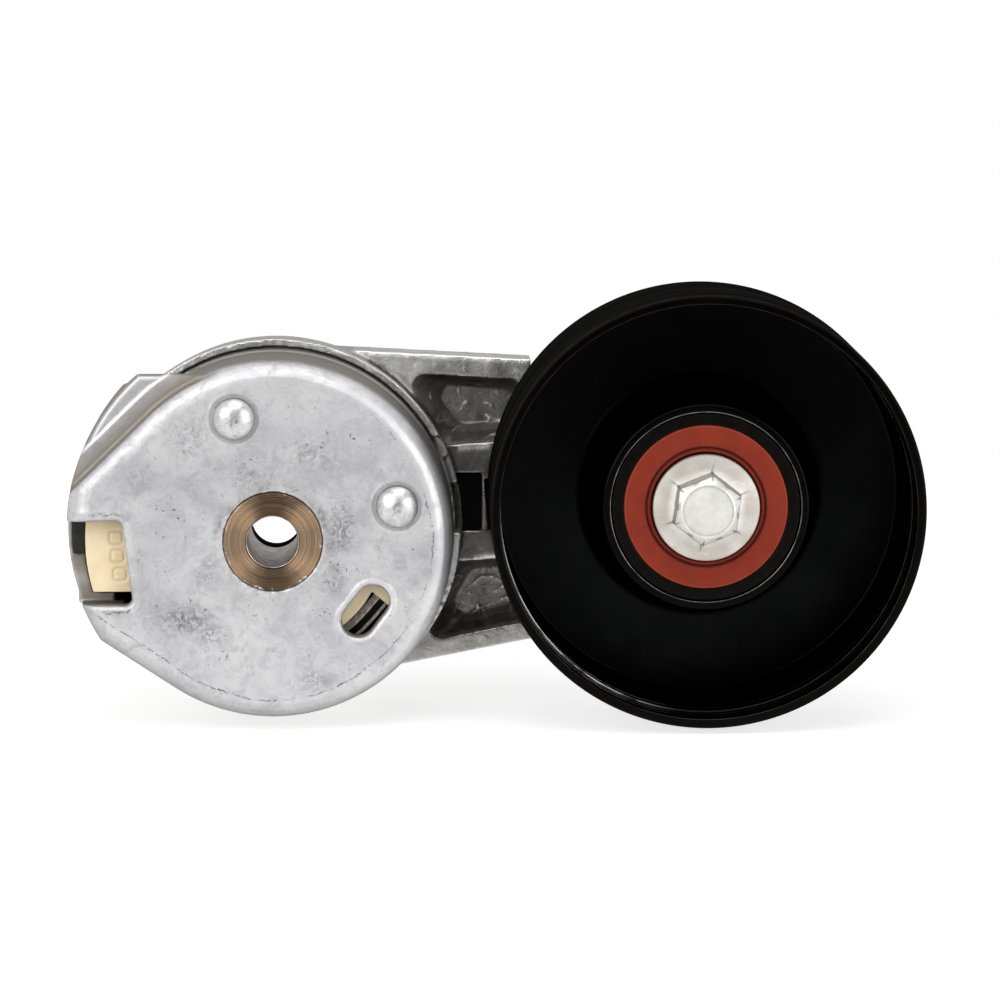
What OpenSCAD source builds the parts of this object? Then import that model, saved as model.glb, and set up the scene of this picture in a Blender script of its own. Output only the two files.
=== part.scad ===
// Spring-loaded belt tensioner: a bolt-on spring case, a pivoting arm and an idler pulley on a ball bearing.
// The origin is the centre of the mounting bore on the mounting face.
// +X runs towards the pulley, +Y runs away from the engine along the bore, and +Z is up.

/* [Mounting] */
// Diameter of the bore for the mounting bolt
bore_d = 10.6; // [8.4:0.1:12.6]
// Outer diameter of the pivot tube
tube_d = 20.6; // [19:0.1:22]
// Length of the pivot tube, from the mounting face
tube_len = 39; // [36:0.5:44]
// Thickness of the plate that holds the arm on the tube
plate_t = 2.5; // [1.5:0.1:3]
// Outer diameter of that plate
plate_d = 31; // [28:0.5:32]
// Diameter of the riveted end of the tube
rivet_d = 16; // [14:0.5:18]

/* [Spring case] */
// Outer diameter of the case
case_d = 75.4; // [72:0.2:78]
// Depth of the case, from its face to its open rim
case_depth = 27.1; // [24:0.5:30]
// Thickness of the case's round wall
case_wall = 3.5; // [2.5:0.1:5]
// Thickness of the case's face
case_face_t = 5.1; // [4:0.1:6]
// How far the case's face lies behind the mounting face
face_set_back = 0.4; // [0.2:0.1:1]
// Radius of the round edge of the face
case_round = 4.5; // [2:0.1:5]
// Radius of the lobe that holds the damper
lobe_r = 43.1; // [42.6:0.1:47]
// Height of the lobe's centre above the bore
lobe_rise = 2; // [0:0.1:3]
// Direction at which the lobe's upper side leaves the round wall
lobe_upper_angle = 134; // [130:1:140]
// Direction at which the lobe's lower side leaves the round wall
lobe_lower_angle = 236.8; // [233:0.2:245]
// How far the lobe stops short of the case's open rim
lobe_short = 6.5; // [5:0.5:9]
// Thickness of the lobe's floor
lobe_floor_t = 2; // [1.5:0.1:3]
// Height of the lobe's flat upper edge above the bore
ledge_top = 34.6; // [32:0.2:36]
// How far the ledge lies behind the face
ledge_drop = 7; // [5:0.5:10]
// How far the slope from the face to the ledge runs out
ledge_run = 3; // [1:0.1:4]
// Height of the boss that holds the tube, inside the case
case_boss_h = 5.5; // [4:0.5:7]
// Height of the lug on the round wall
lug_h = 1.8; // [1.2:0.1:2.2]
// Direction of the middle of the lug
lug_angle = -8.25; // [-12:0.25:-5]
// Angle that the lug takes up
lug_spread = 14.5; // [10:0.5:18]
// Length of the lug along the wall
lug_len = 8; // [5:0.5:12]

/* [Window and slot] */
// Height of the window's upper edge above the bore
window_top = 4.4; // [3:0.1:6]
// Depth of the window's lower edge below the bore
window_bottom = 13.6; // [12.5:0.1:15]
// Distance from the bore to the window's inner edge
window_inner = 31.2; // [30:0.1:33]
// How far the window cuts down the lobe's wall, from the face
window_depth = 8.6; // [7:0.1:12]
// Distance from the bore to the middle of the slot
slot_r = 24.3; // [23:0.1:25]
// Direction of the slot
slot_angle = -37.4; // [-45:0.2:-30]
// Width of the slot
slot_w = 7; // [5:0.1:8]
// Length of the slot
slot_len = 12.1; // [9:0.1:14]

/* [Locating pins] */
// Distance from the bore to each pin
pin_r = 27; // [25:0.1:28]
// Diameter of a pin's head
pin_d = 8.8; // [7.6:0.1:10]
// Diameter of a pin's shank in the face
pin_shank_d = 7; // [5:0.1:7.2]
// How far the straight part of a pin stands out of the face
pin_straight = 2.4; // [1.5:0.1:4]
// Height of a pin's domed end
pin_dome = 1.6; // [0.8:0.1:2.5]
// Depth of a pin in the face
pin_seat = 3.5; // [2.5:0.1:3.8]
// Direction of the first pin
pin_angle_a = 107; // [104:1:112]
// Direction of the second pin
pin_angle_b = 16; // [10:1:20]

/* [Torsion spring] */
// Diameter of the spring wire
wire_d = 4.5; // [3.5:0.1:5]
// Diameter of the spring at the middle of the wire
spring_d = 52.2; // [50:0.1:54]
// Rise of the spring in one turn
spring_pitch = 5.8; // [5.5:0.05:6.4]
// Number of turns
spring_turns = 4; // [3:1:4]
// Direction at which the first turn starts
spring_start_angle = -40.5; // [-45:0.5:-38]

/* [Damper] */
// Thickness of the spring seat's flange
seat_t = 2; // [1.5:0.1:2.5]
// Wall of the spring seat's collar
seat_wall = 2.8; // [2:0.1:3]
// Height of the spring seat's collar
seat_h = 16.5; // [12:0.5:18]
// Gap between the spring and the damper shoe's inner side
shoe_gap = 1; // [0.6:0.1:1.5]
// Radius of the damper shoe's outer side
shoe_outer_r = 39.4; // [38:0.1:39.6]
// Thickness of the friction pad
pad_t = 2.4; // [1.5:0.1:2.5]

/* [Arm] */
// Distance between the bore and the pulley's axis
arm_len = 91; // [89.5:0.25:96]
// Rise of the pulley's axis, seen from the bore
arm_angle = 4; // [0:0.1:8]
// Gap between the case's wall and the lip that laps over its rim
lip_side_gap = 0.8; // [0.5:0.1:1.2]
// Wall of that lip
lip_t = 1.5; // [1.2:0.1:2.5]
// How far the lip laps over the case's rim
lip_lap = 0.9; // [0.6:0.1:3]
// Depth of the arm's beam
arm_depth = 10; // [8:0.5:14]
// Thickness of the floor of the arm's pockets
arm_floor = 3; // [2:0.1:4]
// Thickness of the beam's upper wall at its edge
upper_rib = 4.4; // [3.5:0.1:6]
// Thickness of the beam's lower wall at its edge
lower_rib = 3.6; // [3:0.1:5]
// Width of the square drive hole
drive_w = 12.7; // [9.6:0.1:12.8]
// How far the drive hole reaches out of the arm's round end
drive_reach = 4.3; // [3.5:0.1:5]
// Thickness of the plug in the drive hole
plug_t = 1.5; // [1:0.1:2]
// Outer diameter of the pivot bushes
bush_d = 24; // [23.4:0.1:25]
// Length of a pivot bush
bush_len = 10; // [6:0.5:11]

/* [Pulley] */
// Diameter of the belt face
pulley_d = 90.8; // [86:0.2:92]
// Width of the pulley
pulley_w = 39.2; // [34:0.1:40]
// How far the pulley's near edge stands in front of the mounting face
pulley_lead = 4.2; // [2:0.1:6]
// Thickness of the pulley's sheet metal
pulley_wall = 2; // [1.5:0.1:2.5]
// Bend radius between the hub and the web
hub_bend = 5.5; // [3:0.1:7]
// Bend radius between the web and the rim
rim_bend = 1; // [0.6:0.1:2]

/* [Bearing] */
// Outer diameter of the bearing
bearing_od = 40; // [38:0.5:42]
// Bore of the bearing
bearing_id = 17; // [16:0.5:18]
// Width of the bearing
bearing_w = 12; // [11:0.5:13]
// How far the bearing lies behind the pulley's near edge
bearing_set = 9.8; // [8:0.1:11]
// Diameter of a ball
ball_d = 6.75; // [6:0.05:7]
// Number of balls
ball_count = 8; // [7:1:9]

/* [Pulley bolt] */
// Diameter of the bolt's shank
bolt_d = 9.9; // [7.9:0.1:10.2]
// Length of the shank
bolt_len = 32; // [26:0.5:33]
// Width of the hexagon across its flats
hex_w = 13; // [10:0.5:16]
// Height of the whole head
head_h = 7.4; // [6.5:0.1:10]
// Diameter of the bolt's flange
flange_d = 22.6; // [19:0.1:23]
// Thickness of the bolt's flange
flange_t = 1.6; // [1:0.1:2.5]
// Direction of a corner of the hexagon
hex_angle = 82; // [60:1:120]

/* [Clearances] */
// Gap between pieces that are pressed together
press_gap = 0.02; // [0.01:0.005:0.03]
// Radial gap of a running bush
run_gap = 0.05; // [0.02:0.01:0.1]
// Gap between pieces that are laid in beside each other
lay_gap = 0.3; // [0.2:0.05:0.5]
// Gap between the case's rim and the arm
rim_gap = 1; // [0.5:0.1:1.5]
// Gap between the pulley's far side and the arm
arm_clear = 1; // [0.6:0.1:2]

/* [Hidden] */
$fn = 96;

// Radii from the driving diameters
bore_r = bore_d / 2;
tube_r = tube_d / 2;
case_r = case_d / 2;
case_in_r = case_r - case_wall;
cup_r = case_r + lip_side_gap + lip_t;
lug_r = case_r + lug_h;
bush_r = bush_d / 2;
plate_r = plate_d / 2;
wire_r = wire_d / 2;
spring_r = spring_d / 2;
pulley_r = pulley_d / 2;
bearing_or = bearing_od / 2;
bearing_ir = bearing_id / 2;
ball_r = ball_d / 2;
pitch_r = (bearing_or + bearing_ir) / 2;

// Places along the bore, from the mounting face
face_y = face_set_back;
case_in_y = face_y + case_face_t;
case_far_y = face_y + case_depth;
lobe_far_y = case_far_y - lobe_short;
ledge_y = face_y + ledge_drop;
boss_far_y = case_in_y + case_boss_h;
washer_t = 1;
washer_r = bush_r + 0.8;
hub_near_y = boss_far_y + washer_t + run_gap;
plate_near_y = tube_len - plate_t;
front_washer_y = plate_near_y - washer_t;
hub_far_y = front_washer_y - run_gap;
spring_near_y = case_in_y + seat_t + lay_gap + wire_r;
spring_far_y = spring_near_y + spring_turns * spring_pitch;
lip_near_y = case_far_y - lip_lap;
cup_seat_y = case_far_y + rim_gap;
cup_floor_y = max(spring_far_y + wire_r + lay_gap, cup_seat_y + 1.5);
pulley_near_y = -pulley_lead;
pulley_far_y = pulley_near_y + pulley_w;
arm_near_y = max(pulley_far_y + arm_clear, cup_floor_y - 0.1);
arm_far_y = arm_near_y + arm_depth;
bearing_near_y = pulley_near_y + bearing_set;
bearing_mid_y = bearing_near_y + bearing_w / 2;
bearing_far_y = bearing_near_y + bearing_w;

// Pulley axis
pulley_x = arm_len * cos(arm_angle);
pulley_z = arm_len * sin(arm_angle);

// Lobe: hollow and the pocket that the friction pad sits in
shoe_inner_r = spring_r + wire_r + shoe_gap;
hollow_r = shoe_outer_r + lay_gap + 0.1;
hollow_top = 9;
pad_inner_r = shoe_outer_r + 0.1;
pad_outer_r = pad_inner_r + pad_t;
pad_pocket_r = pad_outer_r + lay_gap / 2;
pad_bottom = -3.1;
shoe_bottom = window_bottom - 2.4;
shoe_near_y = case_in_y + lay_gap;
shoe_far_y = lobe_far_y - lobe_floor_t - lay_gap;

// Gap between the face and the underside of a pin's head
pin_lift = 0.1;

// Spring, its seat and the boss inside it
spring_rings = 8;
spring_sides = 6;
spring_end_angle = spring_start_angle - 360 * spring_turns;
spring_in_r = spring_r * cos(180 / spring_rings) - wire_r;
coil_side_gap = 0.95;
seat_out_r = spring_in_r - coil_side_gap;
seat_in_r = seat_out_r - seat_wall;
seat_flange_r = spring_r - wire_r - lay_gap;
case_boss_r = seat_in_r - lay_gap;
end_gap = wire_d + lay_gap;
seat_stop_r = spring_r + wire_r + 1.5;
seat_stop_far_y = spring_near_y + wire_r + 0.6;
seat_stop_w = 6.5;
arm_stop_w = 4.2;

// Arm
hub_r = seat_in_r - lay_gap - 0.6;
hub_step_r = seat_out_r + lay_gap;
hub_step_y = min(hub_far_y, cup_floor_y) - 3.5;
recess_r = plate_r + 1;
cup_in_r = cup_r - 5;
lip_in_r = cup_r - lip_t;
cup_draft = 0.7;
cup_round = 3.5;
notch_from = -16;
notch_to = 13;
notch_depth = 4.4;
lip_steps = [[13, 22, 2.6], [22, 29, 1.4]];
beam_short = 33.8;
beam_len = arm_len - beam_short;
beam_top_root = cup_r - 2.2;
beam_top_end = 30.7;
beam_bottom_root = cup_r - 3.55;
beam_bottom_end = 29;
beam_end_drop = 3.4;
beam_bevel = 2.6;
pocket_reach = beam_len - 2.5;
pocket_left = cup_r - 10.3;
pocket_inner = cup_r - 3;
pocket_corner = 2.6;
pocket_end_run = 1.5;
pocket_side_run = 4.3;
upper_pocket_foot = 13.5;
upper_foot_run = 3.6;
upper_wall_run = 2.9;
lower_pocket_head = -11.9;
lower_head_run = 2.6;
lower_wall_run = 3.7;
side_pocket_w = 6.5;
side_pocket_h = 11.5;
side_pocket_wall = 1.1;
tail_t = 7;
arm_boss_r = 16;
arm_neck_r = 14;
thread_r = bolt_d / 2 + 0.05;
drive_z = 3.8;
drive_x = cup_r + drive_reach - drive_w / 2;
plug_near_y = max(arm_near_y, cup_floor_y) + 1.4;

// Bearing
land_gap = 2;
inner_land_r = pitch_r - land_gap;
outer_land_r = pitch_r + land_gap;
groove_r = ball_r + 0.075;
seal_seat_r = outer_land_r + 1.1;
seal_land_r = inner_land_r - 0.9;
seal_depth = 1.2;
seal_t = 0.8;
seal_sink = 0.3;
lip_gap = 0.15;
cage_gap = 0.5;
cage_lead = 1;
cage_reach = bearing_w / 2 - seal_sink - seal_t - 0.5;
pocket_play = 0.3;

// An outline in X and Z, carried from y0 to y1
module along_y(y0, y1)
    translate([0, y1, 0])
        rotate([90, 0, 0])
            linear_extrude(y1 - y0)
                children();

// A profile of radius and Y, turned about the bore's axis
module turned()
    rotate([-90, 0, 0])
        rotate_extrude()
            children();

// A plain ring about the bore's axis
module ring(y0, y1, r_out, r_in)
    along_y(y0, y1)
        difference() {
            circle(r_out);
            circle(r_in);
        }

// Moves a piece to the pulley's axis
module at_pulley()
    translate([pulley_x, 0, pulley_z])
        children();

function polar(r, a) = [r * cos(a), r * sin(a)];

function arc(c, r, a0, a1, n = 6) = [for (i = [0:n]) c + polar(r, a0 + (a1 - a0) * i / n)];

// A wedge from the centre, between two directions
module wedge(a0, a1, r)
    polygon(concat([[0, 0]], arc([0, 0], r, a0, a1, 4)));

// A piece of a ring, between two directions
module ring_piece(r_in, r_out, a0, a1)
    intersection() {
        difference() {
            circle(r_out);
            circle(r_in);
        }
        wedge(a0, a1, r_out * 2);
    }

// Round outer side of the lobe
module lobe_circle()
    translate([0, lobe_rise])
        circle(lobe_r);

// Outline of the raised face: the round wall and the lobe between its two straight sides
module face_outline() {
    half_angle = (lobe_lower_angle - lobe_upper_angle) / 2;
    circle(case_r);
    intersection() {
        lobe_circle();
        polygon([
            [0, 0],
            polar(case_r, lobe_upper_angle),
            polar(case_r / cos(half_angle), lobe_upper_angle + half_angle),
            polar(case_r, lobe_lower_angle)
        ]);
    }
}

// Outline of the lower ledge beside the raised face
module ledge_outline()
    intersection() {
        lobe_circle();
        translate([-lobe_r, 0])
            square([lobe_r, ledge_top]);
    }

// Slope between the round edge of the face and the ledge
module ledge_slope() {
    start = case_round * 0.4;
    intersection() {
        hull() {
            along_y(face_y + start, ledge_y)
                offset(delta = -start / 2, $fn = 64)
                    face_outline($fn = 64);
            along_y(ledge_y - 0.01, ledge_y)
                offset(delta = ledge_run, $fn = 64)
                    face_outline($fn = 64);
        }
        along_y(face_y, lobe_far_y)
            ledge_outline();
    }
}

// Raised face with its round edge
module rounded_face() {
    round_steps = 5;
    hull()
        for (i = [0:round_steps]) {
            a = 90 * i / round_steps;
            along_y(face_y + case_round * (1 - sin(a)), face_y + case_round)
                offset(delta = -case_round * (1 - cos(a)), $fn = 64)
                    face_outline($fn = 64);
        }
}

// Hollow of the lobe, with the pocket that the friction pad sits in
module lobe_hollow() {
    intersection() {
        circle(hollow_r);
        translate([-lobe_r, -window_bottom])
            square([lobe_r, window_bottom + hollow_top]);
    }
    intersection() {
        circle(pad_pocket_r);
        translate([-lobe_r, pad_bottom - lay_gap])
            square([lobe_r, hollow_top - pad_bottom + lay_gap]);
    }
}

module window_outline() {
    corner = 1.6;
    slant = 1.8;
    polygon(concat(
        [[-lobe_r - 1, window_top - 0.4]],
        arc([-window_inner - corner, window_top - corner], corner, 90, 0, 5),
        arc([slant - window_inner - corner, corner - window_bottom], corner, 0, -90, 5),
        [[-lobe_r - 1, -window_bottom]]
    ));
}

module slot_outline() {
    run = slot_len - slot_w;
    translate(polar(slot_r, slot_angle))
        rotate(slot_angle + 90) {
            square([run, slot_w], center = true);
            for (side = [-1, 1])
                translate([side * run / 2, 0])
                    circle(slot_w / 2);
        }
}

module spring_case() {
    color("lightgray")
        difference() {
            union() {
                rounded_face();
                along_y(face_y + case_round, case_far_y)
                    circle(case_r);
                along_y(face_y + case_round, lobe_far_y)
                    face_outline();
                along_y(ledge_y, lobe_far_y)
                    ledge_outline();
                ledge_slope();
                along_y(lip_near_y - lay_gap - lug_len, lip_near_y - lay_gap)
                    ring_piece(case_in_r, lug_r, lug_angle - lug_spread / 2, lug_angle + lug_spread / 2);
            }
            difference() {
                along_y(case_in_y, cup_seat_y)
                    circle(case_in_r);
                along_y(case_in_y, boss_far_y)
                    circle(case_boss_r);
            }
            along_y(case_in_y, lobe_far_y - lobe_floor_t)
                lobe_hollow();
            along_y(face_y - 1, face_y + window_depth)
                window_outline();
            along_y(face_y - 1, case_in_y + 1)
                slot_outline();
            along_y(face_y - 1, boss_far_y + 1)
                circle(tube_r + press_gap);
            for (a = [pin_angle_a, pin_angle_b])
                along_y(face_y - 1, face_y + pin_seat)
                    translate(polar(pin_r, a))
                        circle(pin_shank_d / 2 + press_gap);
        }
}

module pivot_tube() {
    color("rosybrown")
        turned()
            polygon([
                [bore_r, 0],
                [tube_r, 0],
                [tube_r, plate_near_y],
                [rivet_d / 2, plate_near_y],
                [rivet_d / 2, tube_len],
                [bore_r, tube_len]
            ]);
}

module locating_pins() {
    r = pin_d / 2;
    shank_r = pin_shank_d / 2;
    dome_r = (r * r + pin_dome * pin_dome) / (2 * pin_dome);
    dome_angle = asin(r / dome_r);
    color("gainsboro")
        for (a = [pin_angle_a, pin_angle_b])
            translate([pin_r * cos(a), face_y, pin_r * sin(a)])
                turned()
                    polygon(concat(
                        [
                            [0, pin_seat],
                            [shank_r, pin_seat],
                            [shank_r, -pin_lift],
                            [r, -pin_lift],
                            [r, -pin_straight]
                        ],
                        arc([0, dome_r - pin_straight - pin_dome], dome_r, dome_angle - 90, -90, 8)
                    ));
}

module spring_seat() {
    color("wheat")
        union() {
            ring(case_in_y, case_in_y + seat_t, seat_flange_r, seat_in_r);
            ring(case_in_y, case_in_y + seat_h, seat_out_r, seat_in_r);
            along_y(case_in_y, seat_stop_far_y)
                rotate(spring_start_angle)
                    translate([seat_out_r - seat_wall / 2, end_gap])
                        square([seat_stop_r - seat_out_r + seat_wall / 2, seat_stop_w]);
        }
}

module damper_shoe() {
    color("wheat")
        along_y(shoe_near_y, shoe_far_y)
            intersection() {
                difference() {
                    circle(shoe_outer_r);
                    circle(shoe_inner_r);
                }
                translate([-lobe_r, -shoe_bottom])
                    square([lobe_r, shoe_bottom + hollow_top - lay_gap]);
            }
}

module friction_pad() {
    color("dimgray")
        along_y(shoe_near_y, shoe_far_y)
            intersection() {
                difference() {
                    circle(pad_outer_r);
                    circle(pad_inner_r);
                }
                translate([-lobe_r, pad_bottom])
                    square([lobe_r, hollow_top - lay_gap - pad_bottom]);
            }
}

module retaining_plate() {
    color("silver")
        ring(plate_near_y, tube_len, plate_r, rivet_d / 2 + press_gap);
}

module thrust_washer(y0, r_out) {
    color("dimgray")
        ring(y0, y0 + washer_t, r_out, tube_r + run_gap);
}

// Middle of the spring wire: a straight run, the turns and a straight run
function coil_point(t) =
    let (a = spring_start_angle - 360 * t)
    [spring_r * cos(a), spring_near_y + spring_pitch * t, spring_r * sin(a)];

function coil_way(t) =
    let (a = spring_start_angle - 360 * t, v = [sin(a), spring_pitch / (2 * PI * spring_r), -cos(a)])
    v / norm(v);

function coil_out(t) =
    let (a = spring_start_angle - 360 * t)
    [cos(a), 0, sin(a)];

coil_steps = [for (i = [0:spring_turns * spring_rings]) i / spring_rings];
level_way = function (t) let (w = coil_way(t)) [w.x, 0, w.z] / norm([w.x, 0, w.z]);
wire_line = concat(
    [coil_point(0) - level_way(0) * wire_d],
    [for (t = coil_steps) coil_point(t)],
    [coil_point(spring_turns) + level_way(spring_turns) * wire_d]
);
wire_way = concat([level_way(0)], [for (t = coil_steps) coil_way(t)], [level_way(spring_turns)]);
wire_out = concat([coil_out(0)], [for (t = coil_steps) coil_out(t)], [coil_out(spring_turns)]);
coil_gap = min([
    for (i = [0:len(wire_line) - 1], j = [i + spring_rings / 2:1:len(wire_line) - 1])
        norm(wire_line[i] - wire_line[j]) - wire_d
]);
echo(spring_least_gap = coil_gap);

module torsion_spring() {
    n = len(wire_line);
    m = spring_sides;
    points = [
        for (i = [0:n - 1], k = [0:m - 1])
            let (a = 360 * k / m)
            wire_line[i] + wire_r * (cos(a) * wire_out[i] + sin(a) * cross(wire_way[i], wire_out[i]))
    ];
    sides = [
        for (i = [0:n - 2], k = [0:m - 1], half = [0, 1])
            let (p = i * m + k, q = i * m + (k + 1) % m)
            half == 0 ? [p, p + m, q] : [q, p + m, q + m]
    ];
    near_end = [for (k = [1:m - 2]) [0, k, k + 1]];
    far_end = [for (k = [1:m - 2]) [(n - 1) * m, (n - 1) * m + k + 1, (n - 1) * m + k]];
    color("dimgray")
        polyhedron(points, concat(sides, near_end, far_end));
}

// Outline of the beam, drawn with the line from the bore to the pulley along X
module beam_outline()
    polygon([
        [0, beam_top_root],
        [beam_len, beam_top_end],
        [beam_len - 0.2, beam_top_end - beam_end_drop],
        [beam_len + 1.2, beam_top_end - beam_end_drop - beam_bevel],
        [arm_len, arm_boss_r],
        [arm_len, -arm_boss_r],
        [beam_len + 3, -beam_bottom_end],
        [0, -beam_bottom_root]
    ]);

// A corner-rounded outline
module softened(points)
    offset(r = pocket_corner, $fn = 32)
        offset(delta = -pocket_corner)
            polygon(points);

// A pocket with sloping walls, from its edge to its floor
module sloped_pocket(edge, bed)
    hull() {
        along_y(arm_near_y - 0.01, arm_near_y + 0.5)
            softened(edge);
        along_y(arm_near_y, arm_far_y - arm_floor)
            softened(bed);
    }

// Upper, lower and side pockets of the beam, beside the round end
module beam_pockets() {
    top_fall = (beam_top_root - beam_top_end) / beam_len;
    bottom_rise = (beam_bottom_root - beam_bottom_end) / beam_len;
    upper_edge = [
        [pocket_left, beam_top_root - upper_rib - top_fall * pocket_left],
        [pocket_reach, beam_top_root - upper_rib - top_fall * pocket_reach],
        [pocket_reach, upper_pocket_foot],
        [pocket_inner, upper_pocket_foot]
    ];
    upper_bed = [
        upper_edge[0] + [pocket_side_run, -upper_wall_run],
        upper_edge[1] + [-pocket_end_run, -upper_wall_run],
        upper_edge[2] + [-pocket_end_run, upper_foot_run],
        upper_edge[3] + [pocket_side_run, upper_foot_run]
    ];
    lower_edge = [
        [pocket_inner, lower_pocket_head],
        [pocket_reach, lower_pocket_head],
        [pocket_reach, lower_rib - beam_bottom_root + bottom_rise * pocket_reach],
        [pocket_left, lower_rib - beam_bottom_root + bottom_rise * pocket_left]
    ];
    lower_bed = [
        lower_edge[0] + [pocket_side_run, -lower_head_run],
        lower_edge[1] + [-pocket_end_run, -lower_head_run],
        lower_edge[2] + [-pocket_end_run, lower_wall_run],
        lower_edge[3] + [pocket_side_run, lower_wall_run]
    ];
    sloped_pocket(upper_edge, upper_bed);
    sloped_pocket(lower_edge, lower_bed);
    along_y(arm_near_y - 1, arm_far_y - arm_floor)
        translate([cup_r + drive_reach + side_pocket_wall + side_pocket_w / 2, 0])
            square([side_pocket_w, side_pocket_h], center = true);
}

// Round end of the arm: lip, cup, hub and the recess for the retaining plate
module arm_cup()
    turned()
        polygon(concat(
            [
                [bush_r + press_gap, hub_near_y],
                [hub_r, hub_near_y],
                [hub_r, hub_step_y],
                [hub_step_r, hub_step_y],
                [hub_step_r, cup_floor_y],
                [cup_in_r, cup_floor_y],
                [cup_in_r, cup_seat_y],
                [lip_in_r, cup_seat_y],
                [lip_in_r, lip_near_y],
                [cup_r, lip_near_y],
                [cup_r, cup_seat_y + 3]
            ],
            arc([cup_r - cup_draft - cup_round, arm_far_y - cup_round], cup_round, 0, 90),
            [
                [recess_r, arm_far_y],
                [recess_r, hub_far_y],
                [bush_r + press_gap, hub_far_y]
            ]
        ));

// Boss that carries the bearing and takes the pulley bolt
module arm_boss()
    turned()
        polygon([
            [thread_r, bearing_near_y + 0.6],
            [bearing_ir - press_gap, bearing_near_y + 0.6],
            [bearing_ir - press_gap, bearing_far_y],
            [seal_land_r - 0.2, bearing_far_y],
            [arm_neck_r, arm_far_y - tail_t],
            [arm_boss_r, arm_far_y - tail_t],
            [arm_boss_r, arm_far_y],
            [0, arm_far_y],
            [0, bearing_near_y + bolt_len + 1],
            [thread_r, bearing_near_y + bolt_len + 1]
        ]);

module drive_hole(y0, y1, gap)
    along_y(y0, y1)
        translate([drive_x, drive_z])
            square(drive_w - 2 * gap, center = true);

module tensioner_arm() {
    color("gray")
        difference() {
            union() {
                arm_cup();
                along_y(arm_near_y, arm_far_y)
                    rotate(arm_angle)
                        difference() {
                            intersection() {
                                beam_outline();
                                translate([0, -cup_r])
                                    square([beam_len + 1, 2 * cup_r]);
                            }
                            circle(cup_in_r + 1);
                        }
                along_y(arm_far_y - tail_t, arm_far_y)
                    rotate(arm_angle)
                        difference() {
                            beam_outline();
                            circle(cup_in_r + 1);
                        }
                at_pulley()
                    arm_boss();
                along_y(spring_far_y - wire_r - lay_gap, cup_floor_y + 1)
                    rotate(spring_end_angle)
                        translate([hub_step_r - 0.5, -end_gap - arm_stop_w])
                            square([spring_r + wire_r - hub_step_r + 0.5, arm_stop_w]);
            }
            rotate([0, -arm_angle, 0])
                beam_pockets();
            along_y(lip_near_y - 1, lip_near_y + notch_depth)
                ring_piece(lip_in_r, cup_r + 1, notch_from, notch_to);
            for (step = lip_steps)
                along_y(lip_near_y - 1, lip_near_y + step[2])
                    ring_piece(lip_in_r, cup_r + 1, step[0], step[1]);
            drive_hole(min(arm_near_y, cup_floor_y) - 0.5, arm_far_y + 1, 0);
        }
}

module drive_hole_plug() {
    color("black")
        drive_hole(plug_near_y, plug_near_y + plug_t, 0.02);
}

module pivot_bush(y0) {
    color("goldenrod")
        ring(y0, y0 + bush_len, bush_r, tube_r + run_gap);
}

module bearing_inner_ring() {
    color("silver")
        at_pulley()
            turned()
                difference() {
                    translate([bearing_ir, bearing_near_y])
                        square([inner_land_r - bearing_ir, bearing_w]);
                    translate([pitch_r, bearing_mid_y])
                        circle(groove_r);
                    for (y = [bearing_near_y - 1, bearing_far_y - seal_depth])
                        translate([seal_land_r, y])
                            square([inner_land_r - seal_land_r + 1, seal_depth + 1]);
                }
}

module bearing_outer_ring() {
    color("dimgray")
        at_pulley()
            turned()
                difference() {
                    translate([outer_land_r, bearing_near_y])
                        square([bearing_or - outer_land_r, bearing_w]);
                    translate([pitch_r, bearing_mid_y])
                        circle(groove_r);
                    for (y = [bearing_near_y - 1, bearing_far_y - seal_depth])
                        translate([outer_land_r - 1, y])
                            square([seal_seat_r - outer_land_r + 1, seal_depth + 1]);
                }
}

module bearing_seal(y0) {
    color("firebrick")
        at_pulley()
            ring(y0, y0 + seal_t, seal_seat_r - press_gap, seal_land_r + lip_gap);
}

module bearing_balls() {
    color("silver")
        at_pulley()
            for (i = [0:ball_count - 1])
                rotate([0, 360 * i / ball_count, 0])
                    translate([pitch_r, bearing_mid_y, 0])
                        sphere(ball_r);
}

module ball_cage() {
    color("tan")
        at_pulley()
            difference() {
                ring(bearing_mid_y - cage_lead, bearing_mid_y + cage_reach,
                    outer_land_r - cage_gap, inner_land_r + cage_gap);
                for (i = [0:ball_count - 1])
                    rotate([0, 360 * i / ball_count, 0])
                        translate([0, bearing_mid_y, 0])
                            rotate([0, 90, 0])
                                cylinder(r = ball_r + pocket_play, h = bearing_or);
            }
}

module pulley_bolt() {
    flange_edge = 0.5;
    corner_r = hex_w / 2 / cos(30);
    top_y = bearing_near_y - head_h;
    color("whitesmoke")
        at_pulley() {
            turned()
                polygon([
                    [0, bearing_near_y + bolt_len],
                    [bolt_d / 2 - 0.8, bearing_near_y + bolt_len],
                    [bolt_d / 2, bearing_near_y + bolt_len - 0.8],
                    [bolt_d / 2, bearing_near_y],
                    [flange_d / 2, bearing_near_y],
                    [flange_d / 2, bearing_near_y - flange_t + flange_edge],
                    [hex_w / 2, bearing_near_y - flange_t - 0.9],
                    [0, bearing_near_y - flange_t - 0.9]
                ]);
            intersection() {
                along_y(top_y, bearing_near_y - flange_t / 2)
                    rotate(hex_angle)
                        circle(corner_r, $fn = 6);
                turned()
                    polygon([
                        [0, top_y],
                        [hex_w / 2 - 0.5, top_y],
                        [corner_r + 0.1, top_y + 1],
                        [corner_r + 0.1, bearing_near_y],
                        [0, bearing_near_y]
                    ]);
            }
        }
}

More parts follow.
